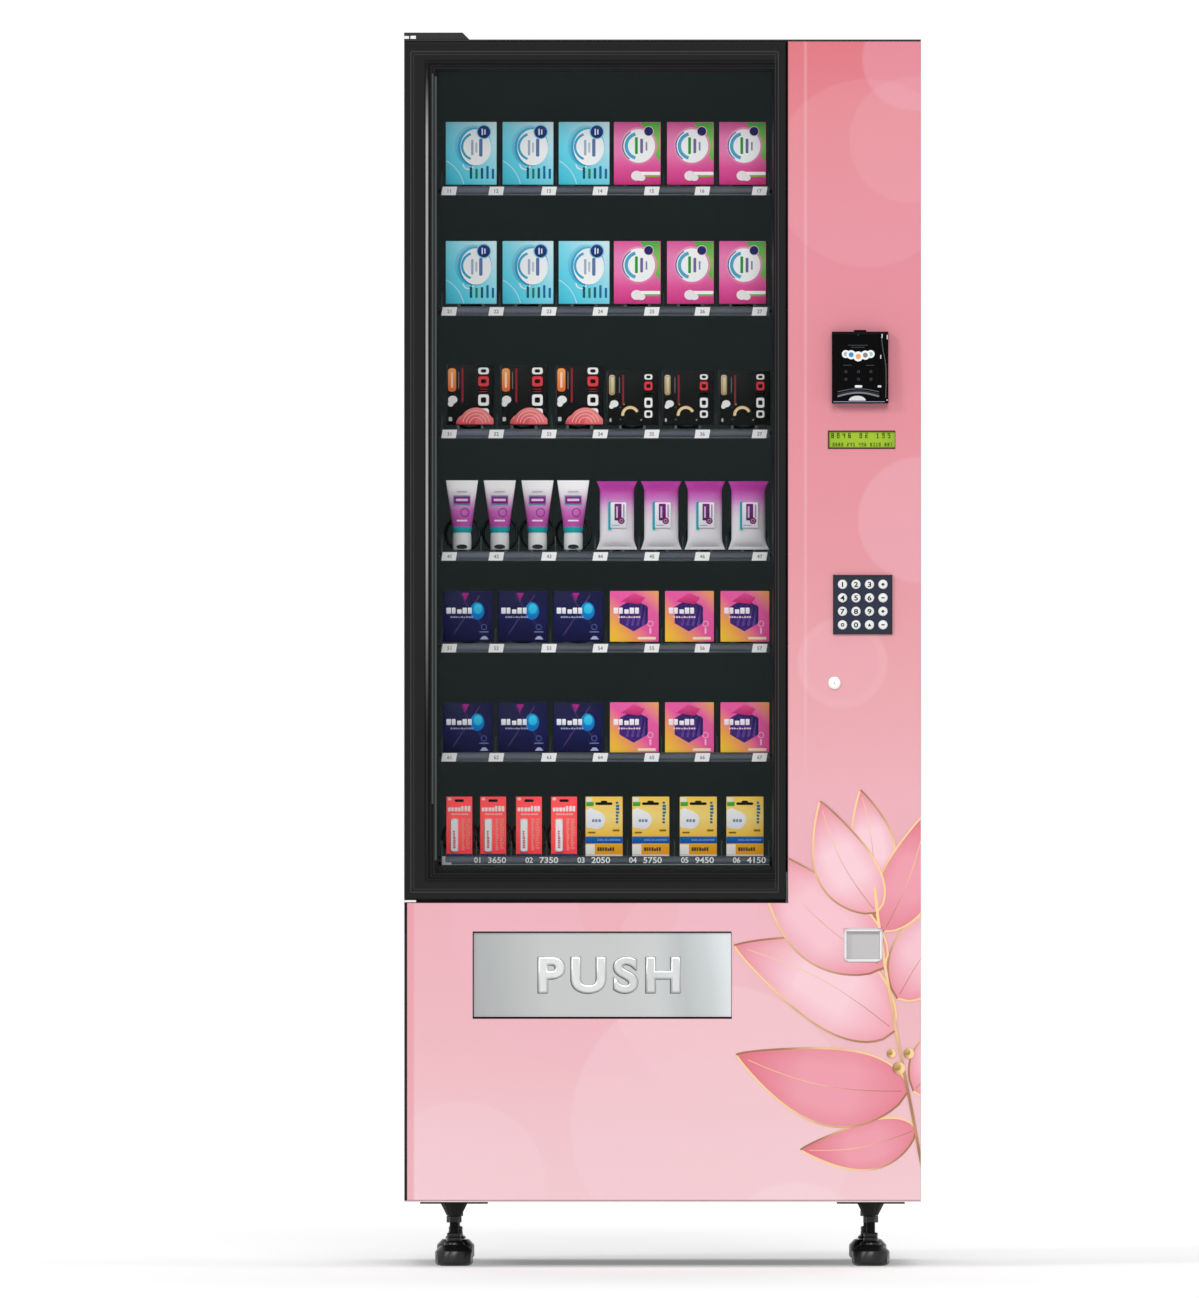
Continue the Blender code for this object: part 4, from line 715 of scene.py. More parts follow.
def studio():
    """The camera at the photograph's angle, plain soft light, a pale floor and a white surround."""
    scene = bpy.context.scene
    scene.view_settings.view_transform = "Standard"
    lens = bpy.data.cameras.new("camera")
    lens.lens, lens.sensor_width, lens.clip_end = 1042.4, 36, 300
    scene.camera = in_scene("camera", lens)
    scene.camera.location = (-0.0939, -56.388, 0.9208)
    scene.camera.rotation_euler = (math.radians(90), 0, 0)
    lamps = (
        # name, where the light comes from, strength, spread in degrees
        ("front_lamp", (0.05, -1, 0.5), 1.28, 24),
        ("left_lamp", (-0.95, -1, 0.62), 0.62, 12),
        ("top_lamp", (0.1, -0.1, 1), 0.28, 50),
        ("back_lamp", (0.05, 1, 0.75), 1.1, 40),
    )
    for name, source, strength, spread in lamps:
        sun = bpy.data.lights.new(name, "SUN")
        sun.energy, sun.angle = strength, math.radians(spread)
        in_scene(name, sun).rotation_euler = Vector(source).to_track_quat("Z", "Y").to_euler()
    scene.world = bpy.data.worlds.new("surround")
    scene.world.use_nodes = True
    sky = Sheet(scene.world.node_tree)
    seen = sky.seen()
    dim, white = (sky.node("ShaderNodeBackground", values={0: (1, 1, 1, 1), 1: level}) for level in (0.36, 1))
    sky.show(seen, dim, white, "World Output")
    mesh = bpy.data.meshes.new("floor")
    reach, level = 60, -2e-4
    points = [(x, y, level) for x, y in corners((-reach, reach), (-reach, reach))]
    mesh.from_pydata(points, [], [range(4)])
    floor = in_scene("floor", mesh)
    material = bpy.data.materials.new("floor")
    material.use_nodes = True
    ground = Sheet(material.node_tree)
    seen = ground.seen()
    grain = ground.node("ShaderNodeTexNoise", values={"Scale": 3})
    pale = ground.mix(grain * 0.03, (0.9, 0.9, 0.9), (0.93, 0.93, 0.93))
    matt = ground.node("ShaderNodeBsdfDiffuse", values={0: pale})
    lift = ground.node("ShaderNodeEmission", values={0: (1, 1, 1, 1), 1: 0.225})
    shown = ground.node("ShaderNodeAddShader", values={0: matt, 1: lift})
    ground.show(seen, matt, shown, "Material Output")
    mesh.materials.append(material)


# The service door
LEAVES = (
    # foot x, foot z, angle from the level, length, half width, bend
    (378, 205, 190, 175, 36, 12),
    (374, 262, 38, 140, 44, 8),
    (316, 560, 98, 152, 33, -6),
    (366, 262, 168, 262, 58, 18),
    (350, 400, 52, 190, 47, 10),
    (346, 352, 152, 271, 62, -16),
    (330, 500, 70, 190, 41, -8),
    (330, 446, 136, 262, 58, 16),
    (319, 528, 117, 186, 44, 12),
)
STEM = ((390, 130), (372, 230), (350, 340), (333, 440), (321, 520), (315, 575))


def leaf_spray():
    """The printed spray of broad leaves that grows in from the service door's right edge."""
    rose = leaf_ink("leaf_rose", "dd7785", "f1c2cc", "e58f9d")
    pale = leaf_ink("leaf_pale", "e18795", "f4ccd5", "eaa0ac")
    deep = leaf_ink("leaf_deep", "da707f", "ea9dab", "e08393")
    berry = printed("berry_ink", "8f7a3e c9b06a")
    spray = Piece()
    steps = 28
    for layer, (x, z, angle, length, half, bend) in enumerate(LEAVES):
        run = Vector((math.cos(math.radians(angle)), math.sin(math.radians(angle))))
        side = Vector((-run.y, run.x))
        y = DOOR_FACE - FILM * (1 + 0.8 * layer)
        left, right, points, prints = [], [], [], []
        for i in range(steps + 1):
            share = i / steps
            middle = Vector((x, z)) + run * (length * share) + side * (bend * math.sin(math.pi * share))
            width = half * math.sin(math.pi * share**0.72) ** 0.85 if 0 < i < steps else 0.2
            left.append(middle + side * width)
            right.append(middle - side * width)
            for j in range(5):
                across = left[-1].lerp(right[-1], j / 4)
                points.append((across.x, y, across.y))
                prints.append((share, j / 4))
        starts = [i * 5 + j for i in range(steps) for j in range(4)]
        spray.add(points, [(a, a + 1, a + 6, a + 5) for a in starts], (deep, rose, pale)[layer % 3], prints)
        for edge in (left, right[::-1]):
            spray.ribbon([tuple(point) for point in edge], 2.8, y - FILM * 0.4, gold)
        rib = [tuple(a.lerp(b, 0.5)) for a, b in zip(left[1:-2], right[1:-2])]
        spray.ribbon(rib, 0.9, y - FILM * 0.4, gold)
    stem = []
    for (a, c), (b, d) in zip(STEM, STEM[1:]):
        stem += [(a + (b - a) * i / 6, c + (d - c) * i / 6) for i in range(6)]
    spray.ribbon(stem, 4.2, DOOR_FACE - FILM * 9, gold)
    for x, z, radius in ((352, 296, 9.5), (367, 318, 8), (341, 318, 7)):
        spray.patch(arc((x, z), radius, steps=24), DOOR_FACE - FILM * 9.4, gold)
        spray.patch(arc((x - 2, z + 2), radius * 0.55, steps=20), DOOR_FACE - FILM * 9.8, berry)
    coin_return, glass_door = ((269.6, 328.4), (454.1, 504.9)), ((-400, 187.8), (542, 1900))
    film_area = ((-380, 384.6), (99.6, 1820))
    spray.make("leaf_spray", "service_door", holes=(coin_return, glass_door), inside=film_area)


def flap_text(name, material, thick, swell, place, offset):
    """The word PUSH as a mesh on the flap."""
    curve = bpy.data.curves.new(name, "FONT")
    curve.body, curve.size, curve.space_character = "PUSH", 0.07, 1.27
    curve.extrude, curve.bevel_depth, curve.bevel_resolution, curve.offset = thick, swell, 3, offset
    curve.align_x, curve.align_y = "CENTER", "CENTER"
    word = in_scene(name, curve)
    word.rotation_euler, word.scale, word.location = (math.radians(90), 0, 0), (1.1, 1, 1), place
    bpy.context.view_layer.update()
    mesh = bpy.data.meshes.new_from_object(word)
    mesh.transform(word.matrix_world)
    bpy.data.objects.remove(word)
    mesh.materials.clear()
    mesh.materials.append(material)
    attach(in_scene(name, mesh), "flap")


def push_word():
    """The word on the push flap with a painted shadow at its left foot, and a dark line of painted shade round the
    port.
    """
    steel = brushed("raised_steel", "adafaf", "d2d3d3", (700, 700, 60), 0.36)
    flap_text("push_word", steel, 0.0004, 0.0027, (-0.0788, -0.3838, 0.4325), 0.0007)
    # Painted shadow: a flat dark copy of the word, a little to the left and below it.
    flap_text("push_painted_shadow", printed("painted_shadow_ink", "6f7172"), 0, 0, (-0.0801, -0.38376, 0.4317), 0.0034)
    # Painted shade: black strips round the port stand for the shade of its recess, widest under it.
    (left, right), (foot, top), sheet = (-281.2, 102.7), (372.8, 497.8), (-388.3, TRIM_BACK)
    lines = (
        ((left, right), sheet, (top, top + 2.1)),
        ((left - 1.7, left), sheet, (foot - 3, top + 2.1)),
        ((left, right + 0.6), sheet, (foot - 3, foot)),
        ((right, right + 0.6), sheet, (foot, top)),
    )
    boxes("port_painted_shade", "service_door", 0.15, painted_shade_black, *lines)


def reader_details():
    """The card reader's plain marks, lamps, arches, bright right edge and painted glints, all on its leaning face."""
    piece = Piece()

    def face(z, out):
        """The reader's front at a height: it leans back by 5 mm over 99 mm."""
        foot_y, foot_z = -412, 1290.5
        return foot_y + (z - foot_z) * 5 / 99 - out

    def mark(outline, code, out=0.2):
        piece.add([(x, face(z, out), z) for x, z in outline], [range(len(outline))], ink(code))

    def line(path, width, code, out=0.25):
        flat = Piece()
        flat.ribbon(path, width, 0, ink(code))
        piece.add([(x, face(z, out), z) for x, _, z in flat.points], flat.faces, ink(code))

    discs = (
        (273, 1360.1, 5.9, "a9b4ba"), (310, 1360.1, 5.9, "9fc0ac"), (281, 1359.1, 6.8, "3d8fc4"),
        (302, 1358.5, 6.8, "8d7f86"), (291.5, 1356.6, 7.4, "e0a277"),
    )
    for i, (x, z, radius, code) in enumerate(discs):
        mark(arc((x, z), radius, steps=22), "eceff1", 0.2 + i * 0.1)
        mark(arc((x, z), radius * 0.55, steps=18), code, 0.25 + i * 0.1)
    for z in (1334, 1322.6):
        for x in (273, 291.9, 310.4):
            line(arc((x, z), 1.7, steps=12) + [(x + 1.7, z)], 0.7, "4a4d52")
    for low, high, z in ((276, 306, 1373.2), (281, 301, 1370.2), (269, 282, 1343.4), (303, 315, 1343.4)):
        mark(rounded((low, high), (z - 0.5, z + 0.5), 0.4, 2), "3d4045")
    mark(rounded((286.4, 297.4), (1310.2, 1313.6), 1.4), "e9ebed")
    mark(rounded((320.3, 326), (1310.4, 1313.4), 1.2), "cfd2d6")
    mark(rounded((289.9, 292.7), (1388, 1389.4), 0.6, 2), "35383c")
    arches = ((1303.8, 4.6, 1, "5c6167"), (1300.4, 5, 1.6, "2b2e32"), (1297, 5.6, 2.6, "72777e"))
    for middle, rise, width, code in arches:
        path = [(260.6 + 62 * i / 20, middle + rise * math.sin(math.pi * i / 20)) for i in range(21)]
        line(path, width, code)
    line([(254.5, 1289.1), (331, 1289.1)], 1, "8b98a4", -0.1)
    edge = (
        (326.1, 1390), (326.6, 1381), (327.3, 1372.7), (329.2, 1362), (331.3, 1351.7),
        (332.6, 1343), (332.9, 1334.4), (332.9, 1317.1), (332.3, 1294.9),
    )
    section = ((-0.9, -0.3), (0, 0.6), (0.9, -0.3))
    piece.rings([[(x + off, face(z, out), z) for off, out in section] for x, z in edge], edge_chrome)
    # Painted highlights: small pale glints at the top and right of the reader and at its lower right corner.
    for x, z, tall in ((327, 1387, 6), (334.6, 1385.4, 6.5), (324.9, 1356, 5.5), (334.4, 1291.6, 2)):
        low, high = z - tall / 2, z + tall / 2
        mark([(x - 0.8, low), (x + 0.7, low), (x + 0.9, high), (x - 0.5, high)], "d4d8da", 0.7)
    mark([(277.3, 1290.8)] + arc((290, 1290.8), 12.7, 180, 0, 20, 0.56), "b9bcbf e2e3e4", 0.3)
    piece.make("reader_trim", "service_door")


def display_details():
    """The display's dark border and its dot-matrix digits."""
    piece = Piece()
    (left, right), (foot, top), sheet = (246.5, 346.5), (1219, 1246), (DOOR_FACE - 0.5, TRIM_BACK)
    borders = (
        ((left - 0.3, right + 0.4), (top - 2.2, top + 0.3)),
        ((left - 0.3, right + 0.4), (foot - 0.3, foot + 2.2)),
        ((left - 0.3, left + 2.2), (foot + 2.2, top - 2.2)),
        ((right - 0.2, right + 0.4), (foot + 2.2, top - 2.2)),
    )
    for x, z in borders:
        piece.block(x, sheet, z, display_edge)
    # The dots of each digit: five rows from the top, three bits a row
    dots = {
        "0": "757557", "1": "262227", "2": "716747", "3": "716117", "4": "557111", "5": "747117",
        "6": "747757", "7": "711222", "8": "757757", "9": "757117",
    }
    lines = (("8046 02 195", 1238.2, 251.5, 8.4, 1.15), ("0680 245 496 0310 887", 1225, 253.5, 4.3, 0.8))
    for line, middle, start, pitch, size in lines:
        for place, digit in enumerate(line):
            for down, code in enumerate(dots.get(digit, "")):
                for across in range(3):
                    if int(code) >> (2 - across) & 1:
                        x = start + place * pitch + across * size * 1.15
                        z = middle + (2.5 - down) * size * 1.15
                        piece.patch(corners((x, x + size), (z, z + size)), DOOR_FACE + 0.35, display_ink)
    piece.make("display_digits", "service_door")


def keypad_details():
    """A domed cap with a digit or a plain sign on each key, and the raised rim round the keys."""
    pitch, print_face = 20.1, -396.2
    cap = ((6.2, -395.05), (6, -395.5), (4.6, -395.85), (2.4, -396), (0.2, -396.05))
    for i, sign in enumerate("123A456B789C*0#D"):
        x, z = 298.3 + (i % 4 - 1.5) * pitch, 987 - (i // 4 - 1.5) * pitch
        dome = Piece()
        dome.turned(cap, (x, 0, z), white_plastic, 1, 24)
        if sign in "ABCD":
            dome.patch(corners((x - 2.4, x + 2.4), (z - 0.9, z + 0.9)), print_face, dark_ink)
            if sign in "AC":
                dome.patch(corners((x - 0.9, x + 0.9), (z - 2.4, z + 2.4)), print_face - 0.05, dark_ink)
        elif sign == "*":
            dome.ribbon(arc((x, z), 2, steps=16), 1.4, print_face, dark_ink, True)
        elif sign == "#":
            dome.patch([(x - 2.4, z - 2.2), (x + 2.4, z - 2.2), (x, z + 2.6)], print_face, dark_ink)
        else:
            dome.words(sign, 7.4, (x, z), print_face, dark_ink, 1.25)
        dome.make(f"key_cap_{i + 1:02d}", f"button_{i + 1:02d}")
    outer, inner = rounded((254.4, 342.2), (943.1, 1030.9), 2), rounded((257.2, 339.4), (945.9, 1028.1), 1.6)
    rim("keypad_rim", outer, inner, -391.9, -392.7, black_plastic, 0.25)


def lock_details():
    """The lock's keyway and the thin ring round it."""
    lock = Piece()
    face = ((8.6, -391.1), (8.4, -391.6), (6.4, -391.9), (6.2, -391.6), (2.6, -391.6), (2.4, -391.9), (0.2, -391.9))
    lock.turned(face, (256, 0, 870), chrome, 1, 32)
    lock.block((255.6, 256.4), (-391.95, -391.7), (868, 872), edge_chrome)
    lock.make("lock_keyway", "lock")


def coin_details():
    """A soft white lip round the coin return."""
    outer, inner = rounded((270.6, 327.4), (455.1, 503.9), 8.6, 6), rounded((271.9, 326.1), (456.4, 502.6), 7.4, 6)
    rim("coin_lip", outer, inner, -390.8, -391.7, lip_plastic, 0.3)


# Trays, packs and spirals
def lanes_of(left_packs):
    """The middles of a tray's lanes, by the packs of its left half."""
    return [TRAY_LEFT + share * (TRAY_RIGHT - TRAY_LEFT) for share in LANES[left_packs]]


def rail(number, level):
    """The price rail on a tray's front lip, with its number tags."""
    piece = Piece()
    low, high, left, right = level - 11.8, level + 1.2, TRAY_LEFT + 1.2, TRAY_RIGHT - 1.2
    middle, back, face = (low + high) / 2, TRAY_FACE - 0.3, TRAY_FACE - 2.4
    section = (
        (back, high), (TRAY_FACE - 1.2, high), (face, high - 2.2), (face, low + 2.2),
        (face - 0.9, low + 1.2), (face - 0.6, low), (back, low),
    )
    prints = [(u, (z - low) / (high - low)) for u in (0, 1) for _, z in section]
    piece.rings([[(x, y, z) for y, z in section] for x in (left, right)], strip_metal, prints)
    if number < 7:
        wide, lean = 21.6, 2.2
        for place, start in enumerate((-330.333, -260.005, -181.333, -104.598, -27.714, 47.829, 133.355)):
            tag = [(start, low - 0.4), (start + wide, low - 0.4)]
            tag += [(start + wide + lean, high - 0.8), (start + lean, high - 0.8)]
            piece.patch([(min(x, right), z) for x, z in tag], face - 1.6, tag_card, 0.6)
            piece.words(f"{number}{place + 1}", 5.4, (start + 12, middle - 0.6), face - 1.75, grey_ink)
    else:
        for group in range(6):
            x, price = -276.5 + group * 77.5, (group * 37 + 26) % 90 + 10
            for words, tall, off, wide in ((f"0{group + 1}", 8.2, 0, 1), (f"{price}50", 8.8, 29.5, 1.15)):
                piece.words(words, tall, (x + off, middle + 1), face - 0.2, tag_card, wide)
        bracket = [(left, low), (left + 14, low), (left + 14, low + 4), (left + 5, low + 4)]
        bracket += [(left + 5, high), (left, high)]
        piece.patch(bracket, face - 1.8, zinc, 0.8)
        # Painted highlight: a pale line along the bottom edge of the last rail.
        piece.patch(corners((left, right), (low, low + 1.3)), face - 1.2, ink("8d9494"))
    piece.make(f"price_rail_{number}", "cabinet")


def carton(piece, x, level, size, finish, front=PACK_FACE):
    """A pack's plain body with slightly softened edges."""
    wide, tall, deep = size
    half, middle, edge = wide / 2, level + tall / 2, 0.7
    outline = rounded((x - half, x + half), (level, level + tall), edge, 2)[::-1]
    rings = []
    for off, inset in ((0, edge), (edge * 0.3, edge * 0.3), (edge, 0), (deep - edge, 0), (deep, edge)):
        narrow, low = 1 - inset / half, 1 - 2 * inset / tall
        rings.append([(x + (a - x) * narrow, front + off, middle + (c - middle) * low) for a, c in outline])
    prints = [((a - x + half) / wide, (c - level) / tall) for a, c in outline] * len(rings)
    piece.rings(rings, finish, prints)


class Art:
    """Print on a pack's front: millimetres from the middle of its foot, and layers of film."""

    def __init__(self, piece, x, z, y):
        self.piece, self.x, self.z, self.y = piece, x, z, y

    def out(self, reach):
        """The same place, reach millimetres nearer to the front."""
        return Art(self.piece, self.x, self.z, self.y - reach)

    def at(self, points):
        return [(self.x + a, self.z + c) for a, c in points]

    def shape(self, outline, layer, codes, **look):
        self.piece.patch(self.at(outline), self.y - layer * FILM, ink(codes, **look))

    def bar(self, left, right, low, high, radius, layer, codes):
        self.shape(rounded((left, right), (low, high), radius, 3), layer, codes)

    def box(self, left, right, low, high, layer, codes):
        self.shape(corners((left, right), (low, high)), layer, codes)

    def disc(self, a, c, radius, layer, codes, **form):
        self.shape(arc((a, c), radius, **form), layer, codes)

    def line(self, path, width, layer, codes, closed=False):
        self.piece.ribbon(self.at(path), width, self.y - layer * FILM, ink(codes), closed)

    def column(self, x, radius, parts, inset, hole_radius, holes):
        """A column of blocks of (code, low, high) between the limits x, with dark holes inset from them."""
        for code, low, high in parts:
            self.bar(*x, low, high, radius, 0, code)
        for low, high in holes:
            self.bar(x[0] + inset, x[1] - inset, low, high, hole_radius, 1, "050506")

    def blocks(self, x, z, layer, codes, count, seed, upright=False):
        """A row of blocks of uneven height between the limits x and z, at the pace of print."""
        rng = random.Random(seed)
        along, across = (z, x) if upright else (x, z)
        pace = (along[1] - along[0]) / count
        for i in range(count):
            start = along[0] + i * pace
            span = (start, start + pace * rng.uniform(0.68, 0.86))
            rise = (across[1] - across[0]) * rng.choice((0, 0, 0.28))
            side = (across[0], across[1] - rise)
            limits = (*side, *span) if upright else (*span, *side)
            self.bar(*limits, min(0.9, pace * 0.3), layer, codes)


def sky_art(art):
    """A white oval with a blue crescent, a navy dot and short bars on the sky carton."""
    art.disc(3, 58, 27.5, 0, "35b6d8 8fd3ea", flat=1.12)
    art.disc(5, 57, 25, 1, "1f8fc4 49b9dd", flat=1.15)
    art.disc(7, 56, 23, 2, "ffffff f2fafd", flat=1.18)
    art.line(arc((6, 57), 19.5, 110, 250), 3.6, 3, "3aa7cf")
    art.disc(19, 79, 11, 4, "8ccfe6")
    art.disc(19, 79, 9.4, 5, "1c2f6b 22408a")
    art.bar(15.6, 17.6, 74, 84, 1, 6, "dfe9f4")
    art.bar(19.6, 21.6, 75, 83, 1, 6, "dfe9f4")
    bars = (("22566b", 17), ("2d7f5c", 15), ("22566b", 16), ("1b6f9d", 19), ("1b6f9d", 15))
    for i, (code, tall) in enumerate(bars):
        a = -2 + i * 8.2
        art.bar(a, a + 3.6, 9, 9 + tall, 1, 1, code)
    art.line(arc((-62, -10), 52, 12, 62), 1.2, 1, "c9ecf6")
    art.line(arc((-4, 31), 8, 180, 350), 1.8, 1, "e4f5fa")
    art.bar(0, 3.4, 44, 67, 1.2, 3, "9fb0c4")
    art.bar(6.2, 9, 48, 63, 1.2, 3, "b9c4d2")
    art.bar(12, 17, 42, 69, 2.2, 3, "5f7aa8")


def rose_art(art):
    """A white disc with a pink ring and a blue arc, a green corner and a white and green band."""
    art.shape([(34, 93), (4, 93), (14, 80), (22, 62), (27, 44), (34, 34)], 0, "58b24a 8ccb62 4fae46")
    art.disc(2, 58, 27.5, 1, "ee7fb4 f29cc6", flat=1.02)
    art.disc(2, 58, 24.6, 2, "f9fbfb ffffff", flat=1.02)
    art.line(arc((2, 58), 18.5, 105, 255), 5, 3, "4fa9cf")
    art.line(arc((2, 58), 23.6, 120, 235), 1.6, 3, "2c5f8f")
    art.disc(17, 80, 7.6, 4, "f3d3e4")
    art.disc(17, 80, 6.6, 5, "2b2a66")
    art.bar(-3.4, 0.8, 46, 71, 1, 3, "2f9a3c")
    art.bar(4.4, 8.6, 47, 69, 1.6, 3, "6f6a9c")
    art.bar(12.4, 15, 51, 64, 1, 3, "8d8ab2")
    art.bar(-6, 34.2, 14.6, 19.4, 0.6, 1, "ffffff")
    art.bar(2, 34.2, 11.8, 14.4, 0.6, 1, "7fb83a")
    art.disc(-1, 13.5, 8.2, 2, "f4eef0", flat=0.9, steps=18)
    art.disc(6, 10.5, 6, 2.4, "f4eef0", flat=0.8, steps=18)


def coral_art(art):
    """An orange tag, a column of white and coral blocks, and three coral hills on the black carton."""
    art.bar(-33, -21, 50, 85, 4.5, 0, "e5662a f7a35e")
    art.bar(-28.6, -25.6, 56, 79, 1.2, 1, "f9d9bd")
    art.bar(-13, -10, 34, 85, 1, 0, "8f2430")
    art.bar(-18, -16.4, 54, 80, 0.6, 0, "6c6464")
    column = (("f2f0f0", 76, 86), ("e03c46", 58, 73), ("e03c46", 50, 54), ("f2f0f0", 29, 46), ("f2f0f0", 13, 25))
    art.column((12, 28), 3.4, column, 4, 2, ((78.6, 83.4), (62.5, 68.5), (33.5, 41.5), (16, 22)))
    art.box(-35.6, -33.8, 1, 89, 0, "1f2022 3a3b3d")
    art.disc(-26, 38, 7, 0, "e9e9ea", flat=0.85, steps=18)
    art.disc(-29, 32, 4.4, 1, "e9e9ea", steps=16)
    hills = ((-6, 15, "b93a48"), (9, 25, "d84c58"), (22, 15, "e8626a"))
    for i, (off, radius, code) in enumerate(hills):
        hill = [(a, max(c, 1.2)) for a, c in arc((off, 1.2), radius, 0, 180, 20)]
        hill = [(min(a, 35), c) for a, c in hill]
        art.shape(hill, i + 1, code + " f08b8c")
    for radius in (20, 15, 10):
        art.line(arc((9, 1.6), radius, 8, 172, 18), 1.1, 5, "f7b3ae")
    art.bar(-32, -27, 6, 12, 0.8, 0, "bfc0c2")


def moon_art(art):
    """A cream tag, a column of white and coral blocks, and a cream ring with small dots."""
    art.bar(-34.6, -26, 45, 75, 3.6, 0, "b8a47a e3d5af")
    art.line(rounded((-33, -27), (47, 73), 2.6), 0.8, 1, "6f6038", True)
    art.bar(-15, -12.4, 30, 75, 1, 0, "8a2630")
    art.bar(-20, -18.6, 48, 72, 0.6, 0, "6c6464")
    column = (("f2f0f0", 68, 76), ("e03c46", 52, 65), ("e03c46", 45, 48), ("f2f0f0", 26, 41), ("f2f0f0", 11, 22))
    art.column((18, 30), 3, column, 2.8, 1.8, ((70, 74), (55.5, 61.5), (30, 37), (13.6, 19.4)))
    art.box(-38.6, -36.8, 1, 80, 0, "1f2022 3a3b3d")
    art.line(arc((-3, 15), 11.5, 25, 185), 4.2, 0, "e0bf84 f3dcae")
    rng = random.Random(7)
    for _ in range(16):
        a, c = rng.uniform(-20, 14), rng.uniform(6, 46)
        if math.hypot(a + 3, c - 17) > 16:
            art.disc(a, c, rng.uniform(0.5, 1), 0, "cfc4ae", steps=8)
    art.disc(-27, 32, 6.2, 0, "e9e9ea", flat=0.85, steps=18)
    art.disc(-31, 28, 3.6, 1, "e9e9ea", steps=16)
    art.bar(-34, -31.4, 5, 10, 0.8, 0, "bfc0c2")


def navy_art(art):
    """A bright bar, a cyan glow and two thin slanting lines on the navy box."""
    art.line([(-22, 10), (-2, 40), (18, 70)], 0.9, 0, "6b4a7e")
    art.line([(-12, 72), (2, 50), (20, 26)], 0.9, 0, "54407a")
    art.disc(14, 46, 10.5, 1, "0d6fc0 1692dd", flat=1.25, steps=20)
    art.disc(15, 49, 6.4, 2, "1fb3e6 45d2f2", flat=1.2, steps=20)
    art.blocks((-32, 8), (42, 51), 3, "dfe3f2 ffffff", 5, 2)
    art.blocks((-26, 9), (35.6, 38.2), 3, "9ea3c4", 9, 4)
    art.shape([(-9, 73), (2, 73), (-4, 60)], 1, "7d1d73 b02a8c")
    art.line(arc((24, 22), 4, steps=16), 1, 0, "5566a0", True)
    art.bar(17, 31, 14, 15.6, 0.6, 0, "6f7cb2")
    art.shape([(18, 3.6), (31, 3.6), (27, 8.4), (22, 8.4)], 0, "aab2d8")


def sunset_art(art):
    """A dark plum hexagon with slanting bands on the pink and yellow box."""
    art.shape(arc((-1, 40), 24.5, 30, 390, 6), 0, "4a2a80 241a52", along=2)
    for i in range(4):
        off = -12 + i * 8
        band = [(-1 + off, 24), (3 + off, 24), (9 + off, 56), (5 + off, 56)]
        band = [(min(max(a, -20), 18), c) for a, c in band]
        art.shape(band, 1, "65429a 3a2870")
    art.shape([(-20, 60), (-1, 73), (16, 66), (8, 56)], 1, "c3286c ec4f93")
    art.blocks((-31, 9), (42, 51), 2, "f5e6f4 ffffff", 5, 2)
    art.blocks((-24, 10), (35.6, 38.2), 2, "efcfe6", 9, 4)
    art.line(arc((24, 27), 4, steps=16), 1.1, 0, "f7b7d8", True)
    art.bar(22.6, 25.4, 12, 21, 1, 0, "f7b7d8")
    art.bar(5, 32, 3.4, 7.2, 0.8, 0, "fbe3c2")


def stick_art(art):
    """A hang slot, a pale band, the stick under its blister and a dark foot on the red card."""
    art.bar(-7, 7, 82, 86, 1.8, 0, "231015")
    art.bar(-17, -12, 84.5, 88.4, 0.8, 0, "f5d3d0")
    art.blocks((-16.8, 17.6), (68, 76), 0, "fff4f2", 7, 5)
    art.blocks((-12, 14), (62.5, 65), 0, "ffc6be", 8, 6)
    art.blocks((3.6, 8), (10, 58), 0, "ff9a92", 14, 7, True)
    art.blocks((10, 16), (12, 58), 0, "ff8f87", 12, 8, True)
    art.box(-19, 19, 0.8, 4.6, 0, "2a3a6c")
    stick = (
        (0.4, 7), (5.6, 7.4), (6.2, 9), (6.2, 34), (6, 34.6),
        (6.2, 35.2), (6.2, 55), (5.6, 56.8), (0.4, 57.4),
    )
    art.piece.turned(stick, (art.x - 7.4, art.y + 0.5, art.z), white_plastic, 2, 20)
    art.out(5.9).bar(-12.4, -2.4, 9, 55, 1.2, 0, "ffffff")
    art.out(6.1).blocks((-9.4, -5.4), (13, 40), 0, "d9707c", 8, 9, True)


def balm_art(art):
    """A hang slot, a white drop, a green tag and blue and orange bands on the yellow card."""
    art.bar(-13, 12.5, 77.5, 81.5, 1.8, 0, "14110c")
    art.bar(-5, 4.5, 80, 84, 1.8, 0.5, "14110c")
    art.shape([(-26.6, 76), (-16, 76), (-15, 82), (-26.6, 82)], 0, "3f9a3a 5fb54a")
    art.box(-26.6, -18, 82.6, 88.6, 0, "eef1ea")
    drop = [(-27, 70), (-20, 73)] + arc((-12, 55), 13.5, 75, -110, 22)
    drop = [(max(a, -27), c) for a, c in drop] + [(-27, 44)]
    art.shape(drop, 1, "e9eef2 ffffff")
    art.blocks((-18, -4), (52, 58), 2, "7d8fb0", 3, 5)
    art.blocks((17.5, 22.8), (50, 84), 0, "2a6f93", 7, 3, True)
    art.bar(13, 23, 38, 41, 0.8, 0, "8a6a24")
    art.bar(-24, -13, 35, 37.6, 0.8, 0, "8a6a24")
    art.box(-27.6, 27.6, 20, 30.5, 0, "1550a0 1e68bd")
    art.blocks((-10, 25), (24, 26.6), 1, "6f9ed6", 12, 4)
    art.box(-27.6, -14, 4, 18.6, 0, "ecebe6 fbfbf8")
    art.box(-14, 27.6, 4, 18.6, 0, "f0a01c f3ac2c")
    art.blocks((-10, 16), (8.6, 14.4), 1, "3c3a2a", 7, 6)
    art.box(-27.6, 27.6, 0.8, 3.4, 0, "d8dcdc")


